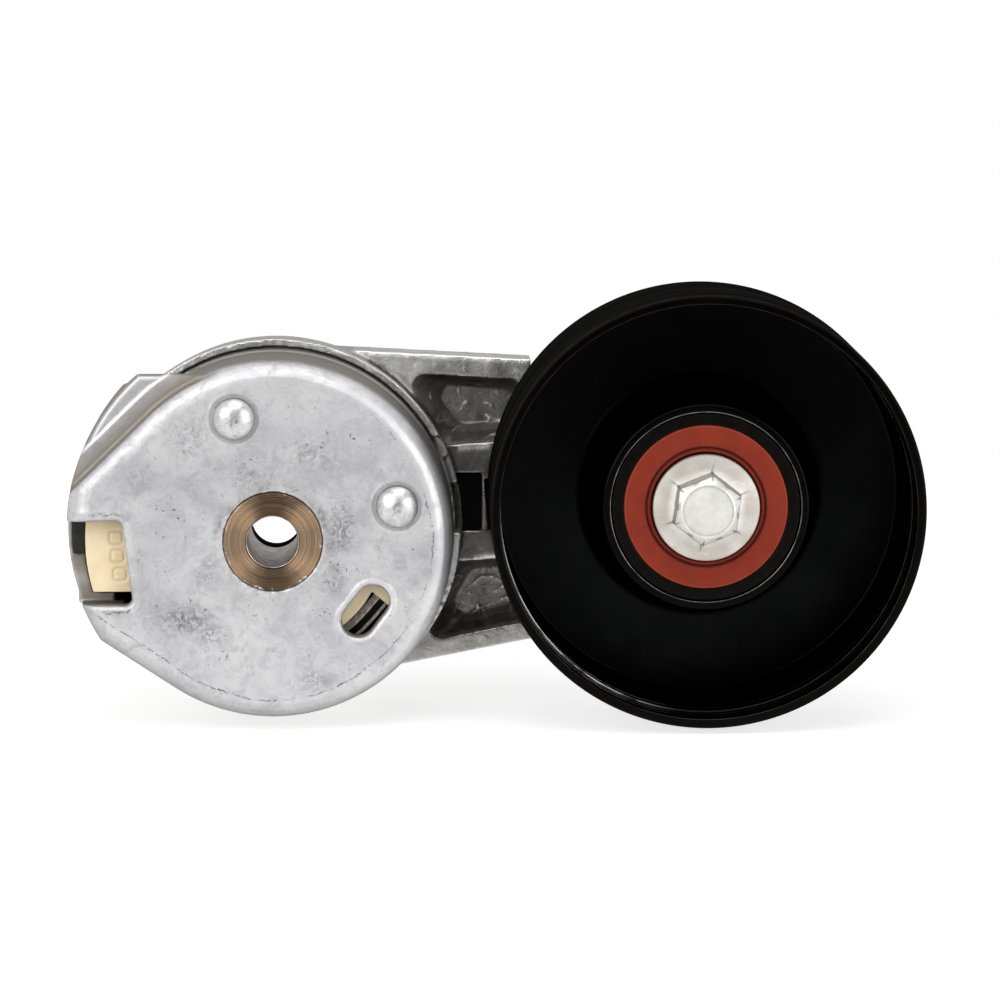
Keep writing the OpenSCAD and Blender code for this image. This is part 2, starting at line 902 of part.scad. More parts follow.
module pulley_shell() {
    hub_out_r = bearing_or + press_gap + pulley_wall;
    hub_near_y = bearing_near_y - 0.4;
    hub_edge = pulley_wall * 0.45;
    rim_in_r = pulley_r - pulley_wall;
    web_y = pulley_far_y - pulley_wall;
    rim_edge = 0.3;
    hub_centre = [hub_out_r + hub_bend, web_y - hub_bend];
    rim_centre = [rim_in_r - rim_bend, web_y - rim_bend];
    color("black")
        at_pulley()
            turned()
                polygon(concat(
                    [[bearing_or + press_gap, hub_near_y]],
                    arc([hub_out_r - hub_edge, hub_near_y + hub_edge], hub_edge, -90, 0, 4),
                    arc(hub_centre, hub_bend, 180, 90),
                    arc(rim_centre, rim_bend, 90, 0, 4),
                    [
                        [rim_in_r, pulley_near_y + rim_edge],
                        [rim_in_r + rim_edge, pulley_near_y],
                        [pulley_r - rim_edge, pulley_near_y],
                        [pulley_r, pulley_near_y + rim_edge]
                    ],
                    arc(rim_centre, rim_bend + pulley_wall, 0, 90),
                    arc(hub_centre, hub_bend + pulley_wall, 90, 180)
                ));
}

spring_case();
pivot_tube();
locating_pins();
spring_seat();
damper_shoe();
friction_pad();
retaining_plate();
thrust_washer(boss_far_y, washer_r);  // rear_thrust_washer
thrust_washer(front_washer_y, plate_r);  // front_thrust_washer
torsion_spring();
tensioner_arm();
drive_hole_plug();
pivot_bush(hub_near_y);  // rear_pivot_bush
pivot_bush(hub_far_y - bush_len);  // front_pivot_bush
bearing_inner_ring();
pulley_bolt();
pulley_shell();
bearing_outer_ring();
bearing_seal(bearing_near_y + seal_sink);  // front_seal
bearing_seal(bearing_far_y - seal_sink - seal_t);  // rear_seal
bearing_balls();
ball_cage();
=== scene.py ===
"""Belt tensioner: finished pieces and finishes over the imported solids, in a plain white studio."""

import math

import bmesh
import bpy
import numpy as np
from mathutils import Matrix, Vector


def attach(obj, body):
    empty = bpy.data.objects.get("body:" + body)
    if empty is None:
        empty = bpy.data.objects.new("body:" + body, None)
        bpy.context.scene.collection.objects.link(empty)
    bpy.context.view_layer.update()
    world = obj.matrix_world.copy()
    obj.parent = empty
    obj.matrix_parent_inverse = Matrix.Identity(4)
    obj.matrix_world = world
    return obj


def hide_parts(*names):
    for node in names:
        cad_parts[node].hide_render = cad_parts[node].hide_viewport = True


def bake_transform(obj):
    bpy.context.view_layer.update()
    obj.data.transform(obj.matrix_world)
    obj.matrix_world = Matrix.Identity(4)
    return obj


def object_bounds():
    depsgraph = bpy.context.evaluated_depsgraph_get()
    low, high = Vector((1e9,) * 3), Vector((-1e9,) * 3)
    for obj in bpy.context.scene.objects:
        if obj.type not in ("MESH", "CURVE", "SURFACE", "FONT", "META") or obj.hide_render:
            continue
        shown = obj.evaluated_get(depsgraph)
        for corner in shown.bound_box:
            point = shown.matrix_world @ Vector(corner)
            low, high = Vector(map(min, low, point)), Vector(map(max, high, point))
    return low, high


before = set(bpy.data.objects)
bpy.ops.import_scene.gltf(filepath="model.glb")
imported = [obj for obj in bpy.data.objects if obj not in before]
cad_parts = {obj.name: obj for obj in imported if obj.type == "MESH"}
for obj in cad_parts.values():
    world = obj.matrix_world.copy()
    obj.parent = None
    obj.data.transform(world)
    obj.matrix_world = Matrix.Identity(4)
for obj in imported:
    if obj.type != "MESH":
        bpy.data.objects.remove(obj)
CAD_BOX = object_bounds()

bl_info = {
    "name": "Belt Tensioner",
    "version": (1, 0, 0),
    "blender": (4, 5, 0),
    "location": "View3D > Sidebar > Tensioner",
    "description": "Builds the pieces and finishes of a spring-loaded belt tensioner",
    "category": "Object",
}

MM = 0.001

# Places shared with the solids, in millimetres and degrees
# Pulley and bearing: middle as x, z, then near and far faces
PULLEY = (90.778, 6.348)
PULLEY_NEAR = -4.2
PULLEY_FAR = 35.0
BEARING = (5.6, 17.6)
# Case and the arm's lip round it
CASE_R = 37.7
CASE_FAR = 27.5
LIP_NEAR = 26.6
# Slot: reach of its middle, angle, width, length
SLOT = (24.3, -37.4, 7.0, 12.1)
# Window: corners as x, z before they are rounded outward
WINDOW = [(-50.0, 2.19), (-32.8, 2.8), (-31.0, -12.0), (-50.0, -12.0)]
WINDOW_CORNER = 1.6
# Pins: reach and angle
PIN_PLACES = [(27.0, 107.0), (27.0, 16.0)]
PIN_TOP = -3.59
PIN_BALL = 4.97
# Lobe: angles of its straight sides, then z of its round end's middle and its radius
LOBE_UPPER = 134.0
LOBE_LOWER = 236.8
LOBE = (2.0, 43.1)
LEDGE_TOP = 34.6
# Arm's beam: its angle, then its upper and lower sides as offset and slope
ARM_ANGLE = 4.0
BEAM_TOP = (37.8, -0.1241)
BEAM_BOTTOM = (-36.45, 0.1302)
CUP_R = 40.3
HUB_FREE = 22
# Coil: mean radius, wire radius, near end, pitch, turns, start angle
SPRING = (26.1, 2.25, 10.05, 5.8, 4, -40.5)
# Bolt: angle of one corner, half its width across flats, radius of the turned corners, height of the head
BOLT_ANGLE = 82
BOLT_FLAT = 6.5
BOLT_CORNER = 7.44
BOLT_HEAD = 7.38

# Fine forms, in millimetres: corners of the shelf under the shoe, and the shoe's loops as x, z
SHELF = ((-41.0, 8.9, -14.0), (-33.4, 11.0, -11.6))
SHOE_LOOPS = ((-32.9, 0.3), (-32.6, -3.6), (-32.1, -7.5))

# Stage, in metres and watts
FLOOR_DROP = 0.0004
FLOOR_R = 0.42
CAMERA_PLACE = (0.0243, -1.0, 0.1345)
CAMERA_AIM = (0.0474, 0.0, 0.0087)
# Name, place, aim, size and power of each lamp
LAMPS = (
    ("left", (-0.75, -0.95, 0.50), (0.03, 0.0, 0.0), 1.0, 9.4),
    ("right", (0.95, -0.85, 0.25), (0.06, 0.0, 0.0), 0.9, 6.8),
    ("top", (0.10, -0.55, 1.10), (0.05, 0.02, 0.0), 0.9, 6.4),
)


def mesh_size(name, of, default):
    """Property for a mesh size, with its default in millimetres."""
    about = "Mesh size of " + of
    return bpy.props.FloatProperty(name=name, description=about, default=default * MM, unit="LENGTH")


def hue(name, description, default):
    """Property for the colour of a finish."""
    return bpy.props.FloatVectorProperty(name=name, description=description, default=default, subtype="COLOR")



class TensionerSizes(bpy.types.PropertyGroup):
    """Sizes of the finished pieces that a user may change."""

    case_grain: mesh_size("Case grain", "the cast case", 0.34)
    arm_grain: mesh_size("Arm grain", "the cast arm", 0.38)
    plastic_grain: mesh_size("Plastic grain", "the moulded pieces", 0.2)
    round_steps: bpy.props.IntProperty(
        name="Round steps", description="Steps round a turned piece", default=256, min=48
    )
    lens: bpy.props.FloatProperty(
        name="Lens", description="Focal length of the camera in millimetres", default=174.2
    )


class TensionerColours(bpy.types.PropertyGroup):
    """Colours of the finishes that a user may change."""

    case_grey: hue("Case", "Bare cast metal of the case", (0.575, 0.57, 0.575))
    arm_grey: hue("Arm", "Cast metal of the arm", (0.40, 0.392, 0.38))
    tube_brown: hue("Tube", "Turned steel of the pivot tube", (0.29, 0.20, 0.128))
    pulley_black: hue("Pulley", "Black coat of the pulley", (0.0035, 0.0035, 0.0035))
    seal_red: hue("Seal", "Red-brown rubber of the bearing seal", (0.215, 0.024, 0.0095))
    bolt_silver: hue("Bolt", "Pale plating of the bolt", (0.76, 0.74, 0.70))
    cream: hue("Cream", "Cream plastic of the damper", (0.84, 0.70, 0.46))


def sizes():
    return bpy.context.scene.tensioner_sizes


def colours():
    return bpy.context.scene.tensioner_colours


def rounded(points, steps=5):
    """Points (r, y, radius) of a closed profile, with each corner turned into an arc of its radius."""
    out = []
    count = len(points)
    for i in range(count):
        before = np.array(points[i - 1][:2], float)
        here = np.array(points[i][:2], float)
        after = np.array(points[(i + 1) % count][:2], float)
        radius = points[i][2] if len(points[i]) > 2 else 0
        a = before - here
        b = after - here
        la, lb = np.linalg.norm(a), np.linalg.norm(b)
        if radius <= 0 or la < 1e-9 or lb < 1e-9:
            out.append(tuple(here))
            continue
        a, b = a / la, b / lb
        turn = math.acos(max(-1, min(1, float(a @ b))))
        if turn > math.pi - 0.02:
            out.append(tuple(here))
            continue
        reach = min(radius / math.tan(turn / 2), la * 0.49, lb * 0.49)
        radius = reach * math.tan(turn / 2)
        middle = (a + b) / np.linalg.norm(a + b)
        centre = here + middle * radius / math.sin(turn / 2)
        start = here + a * reach - centre
        end = here + b * reach - centre
        a0 = math.atan2(start[1], start[0])
        a1 = math.atan2(end[1], end[0])
        sweep = (a1 - a0 + math.pi) % (2 * math.pi) - math.pi
        for k in range(steps + 1):
            t = a0 + sweep * k / steps
            out.append((centre[0] + radius * math.cos(t), centre[1] + radius * math.sin(t)))
    return out


def turned(profile, centre=(0, 0), steps=None):
    """Vertices and faces of a closed profile (r, y) turned about a line along Y through centre."""
    steps = steps or sizes().round_steps
    loop = np.array(profile)
    count = len(loop)
    angles = np.arange(steps) * 2 * math.pi / steps
    verts = np.empty((count, steps, 3))
    verts[:, :, 0] = centre[0] + loop[:, :1] * np.cos(angles)
    verts[:, :, 1] = loop[:, 1:2]
    verts[:, :, 2] = centre[1] + loop[:, :1] * np.sin(angles)
    return verts.reshape(-1, 3), strips(count, steps, True)


def strips(rows, steps, closed=False):
    """Faces between rows of points round a line, and from the last row to the first where they close."""
    faces = []
    for i in range(rows if closed else rows - 1):
        j = (i + 1) % rows
        for k in range(steps):
            m = (k + 1) % steps
            faces.append((i * steps + k, i * steps + m, j * steps + m, j * steps + k))
    return faces


def new_mesh(name, verts_mm, faces, sharp=38):
    """A mesh in metres from points in millimetres, facing outward and smooth up to the sharp angle."""
    mesh = bpy.data.meshes.new(name)
    mesh.from_pydata([tuple(v) for v in np.asarray(verts_mm) * MM], [], faces)
    tidy = bmesh.new()
    tidy.from_mesh(mesh)
    bmesh.ops.remove_doubles(tidy, verts=tidy.verts, dist=2e-6)
    bmesh.ops.recalc_face_normals(tidy, faces=tidy.faces)
    tidy.to_mesh(mesh)
    tidy.free()
    shade(mesh, sharp)
    return mesh


def shade(mesh, sharp):
    mesh.polygons.foreach_set("use_smooth", [True] * len(mesh.polygons))
    mesh.set_sharp_from_angle(angle=math.radians(sharp))


def grained(node, voxel, rounds, blocks=()):
    """A copy of a node's solid and added blocks, remeshed to an even grain and softened at its edges."""
    joined = bmesh.new()
    joined.from_mesh(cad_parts[node].data)
    for low, high in blocks:
        low, high = np.array(low) * MM, np.array(high) * MM
        shape = Matrix.Translation((low + high) / 2) @ Matrix.Diagonal((*(high - low), 1))
        bmesh.ops.create_cube(joined, size=1, matrix=shape)
    bmesh.ops.remove_doubles(joined, verts=joined.verts, dist=2e-6)
    raw = bpy.data.meshes.new("raw")
    joined.to_mesh(raw)
    joined.free()
    holder = bpy.data.objects.new("raw", raw)
    bpy.context.collection.objects.link(holder)
    remesh = holder.modifiers.new("grain", "REMESH")
    remesh.mode = "VOXEL"
    remesh.voxel_size = voxel
    soften = holder.modifiers.new("soften", "SMOOTH")
    soften.factor = 0.5
    soften.iterations = rounds
    ready = holder.evaluated_get(bpy.context.evaluated_depsgraph_get())
    mesh = bpy.data.meshes.new_from_object(ready)
    bpy.data.objects.remove(holder)
    bpy.data.meshes.remove(raw)
    mesh.materials.clear()
    shade(mesh, 180)
    return mesh


def read_points(mesh):
    """Points of a mesh in millimetres."""
    flat = np.empty(len(mesh.vertices) * 3, np.float32)
    mesh.vertices.foreach_get("co", flat)
    return flat.reshape(-1, 3).astype(float) / MM


def write_points(mesh, points):
    mesh.vertices.foreach_set("co", (points * MM).astype(np.float32).ravel())
    mesh.update()


def read_edges(mesh):
    flat = np.empty(len(mesh.edges) * 2, np.int32)
    mesh.edges.foreach_get("vertices", flat)
    return flat.reshape(-1, 2)


def neighbour_mean(values, edges):
    """Mean of the values at the neighbours of each point."""
    count = len(values)
    total = np.bincount(edges[:, 0], values[edges[:, 1]], count)
    total += np.bincount(edges[:, 1], values[edges[:, 0]], count)
    return total / np.maximum(np.bincount(edges.ravel(), minlength=count), 1)


def bend_of(mesh, rounds=2):
    """How sharply the skin bends at each point, in 1/mm: above nought on outer edges, below in corners."""
    points = read_points(mesh)
    edges = read_edges(mesh)
    flat = np.empty(len(mesh.vertices) * 3, np.float32)
    mesh.vertex_normals.foreach_get("vector", flat)
    normals = flat.reshape(-1, 3)
    inward = np.zeros(len(points))
    for k in range(3):
        inward += (points[:, k] - neighbour_mean(points[:, k], edges)) * normals[:, k]
    step = np.mean(np.sum((points[edges[:, 0]] - points[edges[:, 1]]) ** 2, axis=1))
    bend = 2 * inward / step
    for _ in range(rounds):
        bend = 0.5 * bend + 0.5 * neighbour_mean(bend, edges)
    return bend


def paint(mesh, **marks):
    """Keeps values at the points of a mesh, for its finish."""
    for name, values in marks.items():
        kept = mesh.attributes.new(name, "FLOAT", "POINT")
        kept.data.foreach_set("value", np.asarray(values, np.float32))


def waves(points, size, seed, count=18):
    """Smooth seeded noise between about -1 and 1 at the given points, with bumps of about that size."""
    rng = np.random.default_rng(seed)
    total = np.zeros(len(points))
    for _ in range(count):
        way = rng.normal(size=points.shape[1])
        way *= rng.uniform(0.6, 1.5) * 2 * math.pi / size / np.linalg.norm(way)
        total += np.sin(points @ way + rng.uniform(0, 2 * math.pi))
    return total / math.sqrt(count) * 0.9


def hill(distance, width):
    """One at no distance, falling smoothly to nought."""
    return np.exp(-((distance / width) ** 2))


def ramp(value, low, high):
    """Nought at low, one at high and straight between them."""
    return np.clip((value - low) / (high - low), 0, 1)


def polar(reach, degrees):
    """The place x, z at that reach and angle from the bore."""
    a = math.radians(degrees)
    return reach * math.cos(a), reach * math.sin(a)


def swung(x, z, degrees):
    """Places along a direction at that angle, and across it."""
    a = math.radians(degrees)
    return x * math.cos(a) + z * math.sin(a), z * math.cos(a) - x * math.sin(a)


def piece(name, mesh, body, slot, look, *nodes):
    """A finished piece that rides on a body and stands for some nodes of the frame."""
    if not mesh.polygons:
        raise RuntimeError("No faces in " + name)
    obj = bpy.data.objects.new(name, mesh)
    bpy.context.collection.objects.link(obj)
    obj.data.materials.append(finish(look))
    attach(obj, body)
    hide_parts(*nodes)


def dress(node, look):
    """Gives a node of the frame its finish, on its own slots."""
    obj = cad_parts[node]
    if not obj.material_slots:
        obj.data.materials.append(finish(look))
    for place in obj.material_slots:
        place.material = finish(look)


def is_output(value):
    return isinstance(value, bpy.types.NodeSocket)


def add_node(tree, kind, inputs, out=0, **settings):
    """Output of a new node, with its inputs set to values or linked to other outputs."""
    made = tree.nodes.new(kind)
    for key, value in settings.items():
        setattr(made, key, value)
    for key, value in inputs.items():
        if is_output(value):
            tree.links.new(value, made.inputs[key])
        else:
            made.inputs[key].default_value = value
    return made.outputs[out]


def combined(tree, how, a, b):
    """Output of a math node over two values or outputs."""
    return add_node(tree, "ShaderNodeMath", {0: a, 1: b}, operation=how)


class Recipe:
    """A material under construction: its base colour, and its colour and relief so far."""

    def __init__(self, name):
        self.material = bpy.data.materials.new(name)
        self.material.use_nodes = True
        self.tree = self.material.node_tree
        self.shader = self.tree.nodes["Principled BSDF"]
        self.coords = self.tree.nodes.new("ShaderNodeTexCoord")
        self.base = (1, 1, 1)
        self.colour = None
        self.normal = None

    def add(self, kind, inputs, out=0, **settings):
        return add_node(self.tree, kind, inputs, out, **settings)

    def place(self, scale=(1, 1, 1)):
        return self.add("ShaderNodeMapping", {"Vector": self.coords.outputs["Object"], "Scale": scale})

    def noise(self, size_mm, detail=4, rough=0.55, scale=(1, 1, 1), twist=0.0, vector=None):
        return self.add(
            "ShaderNodeTexNoise",
            {
                "Vector": vector or self.place(scale),
                "Scale": 1000 / size_mm,
                "Detail": detail,
                "Roughness": rough,
                "Distortion": twist,
            },
        )

    def cells(self, size_mm, feature="F1", vector=None):
        inputs = {"Vector": vector or self.place(), "Scale": 1000 / size_mm}
        return self.add("ShaderNodeTexVoronoi", inputs, feature=feature)

    def span(self, value, low, high, to_low=0.0, to_high=1.0):
        return self.add(
            "ShaderNodeMapRange",
            {"Value": value, "From Min": low, "From Max": high, "To Min": to_low, "To Max": to_high},
        )

    def math(self, how, a, b=0.0):
        return combined(self.tree, how, a, b)

    def product(self, *values):
        total = values[0]
        for value in values[1:]:
            total = self.math("MULTIPLY", total, value)
        return total

    def tint(self, amount, a, b):
        """Mix of two colours, each three numbers or an output."""
        a, b = (c if is_output(c) else (*c, 1.0) for c in (a, b))
        return self.add("ShaderNodeMix", {0: amount, 6: a, 7: b}, 2, data_type="RGBA")

    def start(self, amount, a, b):
        """Begins the colour as a mix of two shades of the base colour."""
        self.colour = self.tint(amount, times(self.base, a), times(self.base, b))

    def plain(self, colour, *amounts):
        """Lays a colour over the colour so far, by the product of some amounts."""
        self.colour = self.tint(self.product(*amounts), self.colour, colour)

    def over(self, shade, *amounts):
        """Lays a shade of the base colour over the colour so far."""
        self.plain(times(self.base, shade), *amounts)

    def axis(self, which, source="Object"):
        vector = self.coords.outputs[source]
        return self.add("ShaderNodeSeparateXYZ", {"Vector": vector}, "XYZ".index(which))

    def facing(self, which):
        return self.axis(which, "Normal")

    def along(self, degrees):
        """Place in metres along a direction at that angle across the bore."""
        a = math.radians(degrees)
        x, z = self.product(self.axis("X"), math.cos(a)), self.product(self.axis("Z"), math.sin(a))
        return self.math("ADD", x, z)

    def mark(self, name):
        """Values kept at the points of the mesh."""
        return self.add("ShaderNodeAttribute", {}, "Fac", attribute_name=name)

    def from_line(self, x_mm, z_mm, x_scale=1.0, z_scale=1.0):
        """Distance in metres from a line along Y."""
        x = self.math("MULTIPLY", self.math("SUBTRACT", self.axis("X"), x_mm * MM), x_scale)
        z = self.math("MULTIPLY", self.math("SUBTRACT", self.axis("Z"), z_mm * MM), z_scale)
        return self.math("SQRT", self.math("ADD", self.math("MULTIPLY", x, x), self.math("MULTIPLY", z, z)))

    def rings(self, centre, size_mm, detail=3, rough=0.6):
        """Noise in rings about a line along Y."""
        place = {"X": self.from_line(*centre), "Y": self.axis("Y"), "Z": 0.0}
        reach = self.add("ShaderNodeCombineXYZ", place)
        return self.noise(size_mm, detail, rough, vector=reach)

    def band(self, value, middle, half):
        """One at the middle of a band, falling to nought at its edges."""
        away = self.math("ABSOLUTE", self.math("SUBTRACT", value, middle))
        return self.span(away, half, 0.0)

    def bump(self, height, strength, depth_mm):
        """Lays a relief over the relief so far."""
        inputs = {"Height": height, "Strength": strength, "Distance": depth_mm * MM}
        if self.normal is not None:
            inputs["Normal"] = self.normal
        self.normal = self.add("ShaderNodeBump", inputs)

    def done(self, rough, **others):
        """Gives the shader its colour, relief, roughness and other inputs, and returns the material."""
        inputs = {"Base_Color": self.colour, "Normal": self.normal, "Roughness": rough, **others}
        for key, value in inputs.items():
            socket = self.shader.inputs[key.replace("_", " ")]
            if is_output(value):
                self.tree.links.new(value, socket)
            else:
                socket.default_value = value
        return self.material


def times(colour, factor):
    """A colour scaled by one number, or by one for each channel."""
    if not isinstance(factor, tuple):
        factor = (factor,) * 3
    return tuple(c * f for c, f in zip(colour, factor))


def face_crease(r):
    """The ragged dark line where the face turns into its round edge, on the right and along the bottom."""
    along = r.along(LOBE_LOWER - 90)
    across = r.along(LOBE_LOWER)
    on_lobe = r.math("GREATER_THAN", along, 0.0)
    reach = r.from_line(0, 0)
    reach = r.math("ADD", reach, r.product(r.math("SUBTRACT", across, reach), on_lobe))
    wander = r.product(r.math("SUBTRACT", r.noise(14, 3, 0.6), 0.5), 0.0022)
    jitter = r.product(r.math("SUBTRACT", r.noise(0.8, 3, 0.7), 0.5), 0.0011)
    shaken = r.math("ADD", r.math("ADD", reach, wander), jitter)
    line = r.span(r.math("ABSOLUTE", r.math("SUBTRACT", shaken, 0.0333)), 0.00020, 0.00004)
    broken = r.span(r.noise(1.5, 5, 0.75, twist=0.5), 0.43, 0.53)
    broken = r.product(broken, r.span(r.noise(12, 2, 0.5), 0.36, 0.50))
    side = r.math("MAXIMUM", r.span(r.axis("X"), 0.002, 0.006), r.span(r.axis("Z"), -0.010, -0.014))
    return r.product(line, broken, side, r.span(r.axis("Y"), 0.0026, 0.0012))


def scuffs(r):
    """Dark scraped patches on the face: (x, z, half width, half height, weight)."""
    total = None
    grit = r.span(r.noise(2.0, 7, 0.76, twist=1.8), 0.43, 0.58)
    for x, z, wide, high, weight in (
        (-18.5, -16.5, 9.0, 4.5, 1.0),
        (-13.0, -19.5, 6.0, 3.0, 0.8),
        (-17.0, 22.0, 6.0, 7.0, 0.6),
        (-4.0, 14.0, 9.0, 4.0, 0.55),
        (8.0, 18.0, 12.0, 6.0, 0.55),
        (14.0, 3.0, 4.0, 9.0, 0.9),
        (12.0, -8.0, 4.0, 5.0, 0.8),
        (24.0, -27.0, 4.0, 6.0, 0.9),
        (9.0, -29.0, 5.0, 3.0, 0.6),
        (-13.5, -6.0, 4.0, 6.0, 0.6),
        (-27.0, 14.0, 5.0, 6.0, 0.4),
    ):
        near = r.span(r.from_line(x, z, 1 / wide, 1 / high), 0.001, 0.0001, 0.0, weight)
        total = near if total is None else r.math("MAXIMUM", total, near)
    return r.product(total, grit, r.span(r.axis("Y"), 0.0020, 0.0008))


def cast_case(r):
    """Bare die-cast metal: a pale smudged face with pits and scuffs, painted light and shade on its face,
    walls, ledge and window, and edges lightened by wear and painted highlight.
    """
    r.base = tuple(colours().case_grey)
    clouds = r.noise(15, 4, 0.55, twist=0.6)
    mottle = r.noise(4.2, 6, 0.68, twist=1.0)
    fine = r.noise(1.1, 5, 0.72, twist=1.5)
    r.start(r.span(clouds, 0.36, 0.62), (0.80, 0.80, 0.825), 1.10)
    # Painted light: the face is made lighter towards its top and bottom.
    ends = r.span(r.math("ABSOLUTE", r.axis("Z")), 0.013, 0.027)
    r.over(1.22, ends, 0.5)
    smudge = r.span(mottle, 0.48, 0.70)
    r.over((0.62, 0.62, 0.65), smudge, 0.65)
    r.over((0.58, 0.58, 0.60), r.span(fine, 0.52, 0.70), 0.34)
    r.over(1.25, r.span(fine, 0.46, 0.32), 0.34)
    scuff = scuffs(r)
    r.over((0.25, 0.26, 0.29), scuff, 0.95)
    around = r.from_line(0, 0)
    pits = r.span(r.noise(1.0, 3, 0.6), 0.645, 0.68)
    where = r.span(r.noise(8, 2, 0.5), 0.48, 0.58)
    pits = r.product(pits, where, r.span(around, 0.0105, 0.012), r.span(around, 0.033, 0.029))
    r.over(0.16, pits, 0.8)
    # The crease mark holds dark crease lines beside the window and a painted shade line along the ledge's
    # junction.
    crease = r.product(r.mark("crease"), r.span(r.noise(1.3, 4, 0.7), 0.36, 0.5))
    crease = r.math("MAXIMUM", face_crease(r), crease)
    r.over(0.10, crease, 0.9)
    scratch = r.span(r.noise(1.1, 3, 0.7, scale=(0.12, 1, 1.6), twist=0.3), 0.64, 0.72)
    r.over(1.3, scratch, 0.3)
    # Painted shade: side walls, found by how they face, are made darker and browner.
    upright = r.span(r.math("ABSOLUTE", r.facing("Y")), 0.62, 0.12)
    wall = r.product(upright, r.span(r.axis("Y"), 0.0022, 0.0052))
    r.over((0.36, 0.335, 0.30), wall, 0.9)
    below = r.span(r.axis("Z"), 0.004, -0.006, 0.25, 1.0)
    flash = r.product(r.band(around, 0.01045, 0.0007), r.span(r.noise(1.7, 4, 0.7), 0.55, 0.60), below)
    above = r.span(r.axis("Z"), -0.004, 0.006, 0.3, 1.0)
    soot = r.product(r.band(around, 0.0115, 0.0016), r.span(r.noise(2.2, 5, 0.7), 0.48, 0.62), above)
    r.over((0.26, 0.25, 0.25), soot, 0.7)
    joint = r.product(r.band(around, 0.01036, 0.00016), r.span(r.noise(3, 3, 0.6), 0.4, 0.55))
    r.over(0.2, joint, 0.8)
    r.over(1.5, flash)
    # Painted shade: surfaces that face down are made darker.
    under = r.span(r.facing("Z"), -0.15, -0.8)
    r.over((0.50, 0.49, 0.475), under, 0.55)
    # Painted shade, browned in part: on the ledge's junction, slope and bevel, and inside the window.
    r.over((0.44, 0.40, 0.345), r.mark("grime_and_shade"))
    # Outer edges made lighter, partly wear and partly painted highlight.
    wear_and_highlight = r.span(r.mark("bend"), 0.35, 1.5)
    r.over(1.3, wear_and_highlight, 0.6)
    # Painted highlights on the ledge's crest and bevel and on the round edge at the right.
    r.over(1.4, r.mark("bare"))
    # Inner corners and hollows made darker, partly soiling and partly painted shade.
    dirt_and_shade = r.span(r.mark("bend"), -0.25, -1.4)
    r.over((0.26, 0.25, 0.24), dirt_and_shade, 0.8)
    r.bump(r.noise(0.5, 3, 0.6), 0.18, 0.05)
    r.bump(fine, 0.16, 0.08)
    r.bump(mottle, 0.24, 0.16)
    lows = r.math("ADD", r.math("ADD", pits, crease), r.product(scuff, 0.4))
    r.bump(r.product(lows, -1.0), 0.5, 0.12)
    return r.done(r.span(smudge, 0.0, 1.0, 0.47, 0.57), Metallic=0.85, Specular_Tint=(0.42, 0.41, 0.39, 1.0))


def domed_pin(r):
    """Bare cast dome: bright and softly rippled, with painted shade on its steep flank round its foot, and a
    small dark dimple on top.
    """
    r.base = tuple(colours().case_grey)
    mottle = r.noise(1.6, 5, 0.68, twist=1.0)
    r.start(r.span(mottle, 0.40, 0.66), 1.2, (0.82, 0.82, 0.83))
    # Painted shade: the dome's steep flank is made darker.
    steep = r.span(r.facing("Y"), -0.74, -0.30)
    r.over((0.40, 0.39, 0.375), steep, 0.75)
    tip = r.span(r.facing("Y"), -0.978, -0.997)
    r.over(0.35, tip, r.span(r.noise(0.8, 4, 0.7), 0.46, 0.58), 0.8)
    specks = r.span(r.noise(0.5, 3, 0.6), 0.66, 0.72)
    r.over(0.3, specks, 0.6)
    r.bump(mottle, 0.35, 0.12)
    r.bump(r.noise(0.4, 3, 0.6), 0.16, 0.04)
    return r.done(r.span(mottle, 0.3, 0.7, 0.32, 0.44), Metallic=0.9, Specular_Tint=(0.42, 0.41, 0.39, 1.0))


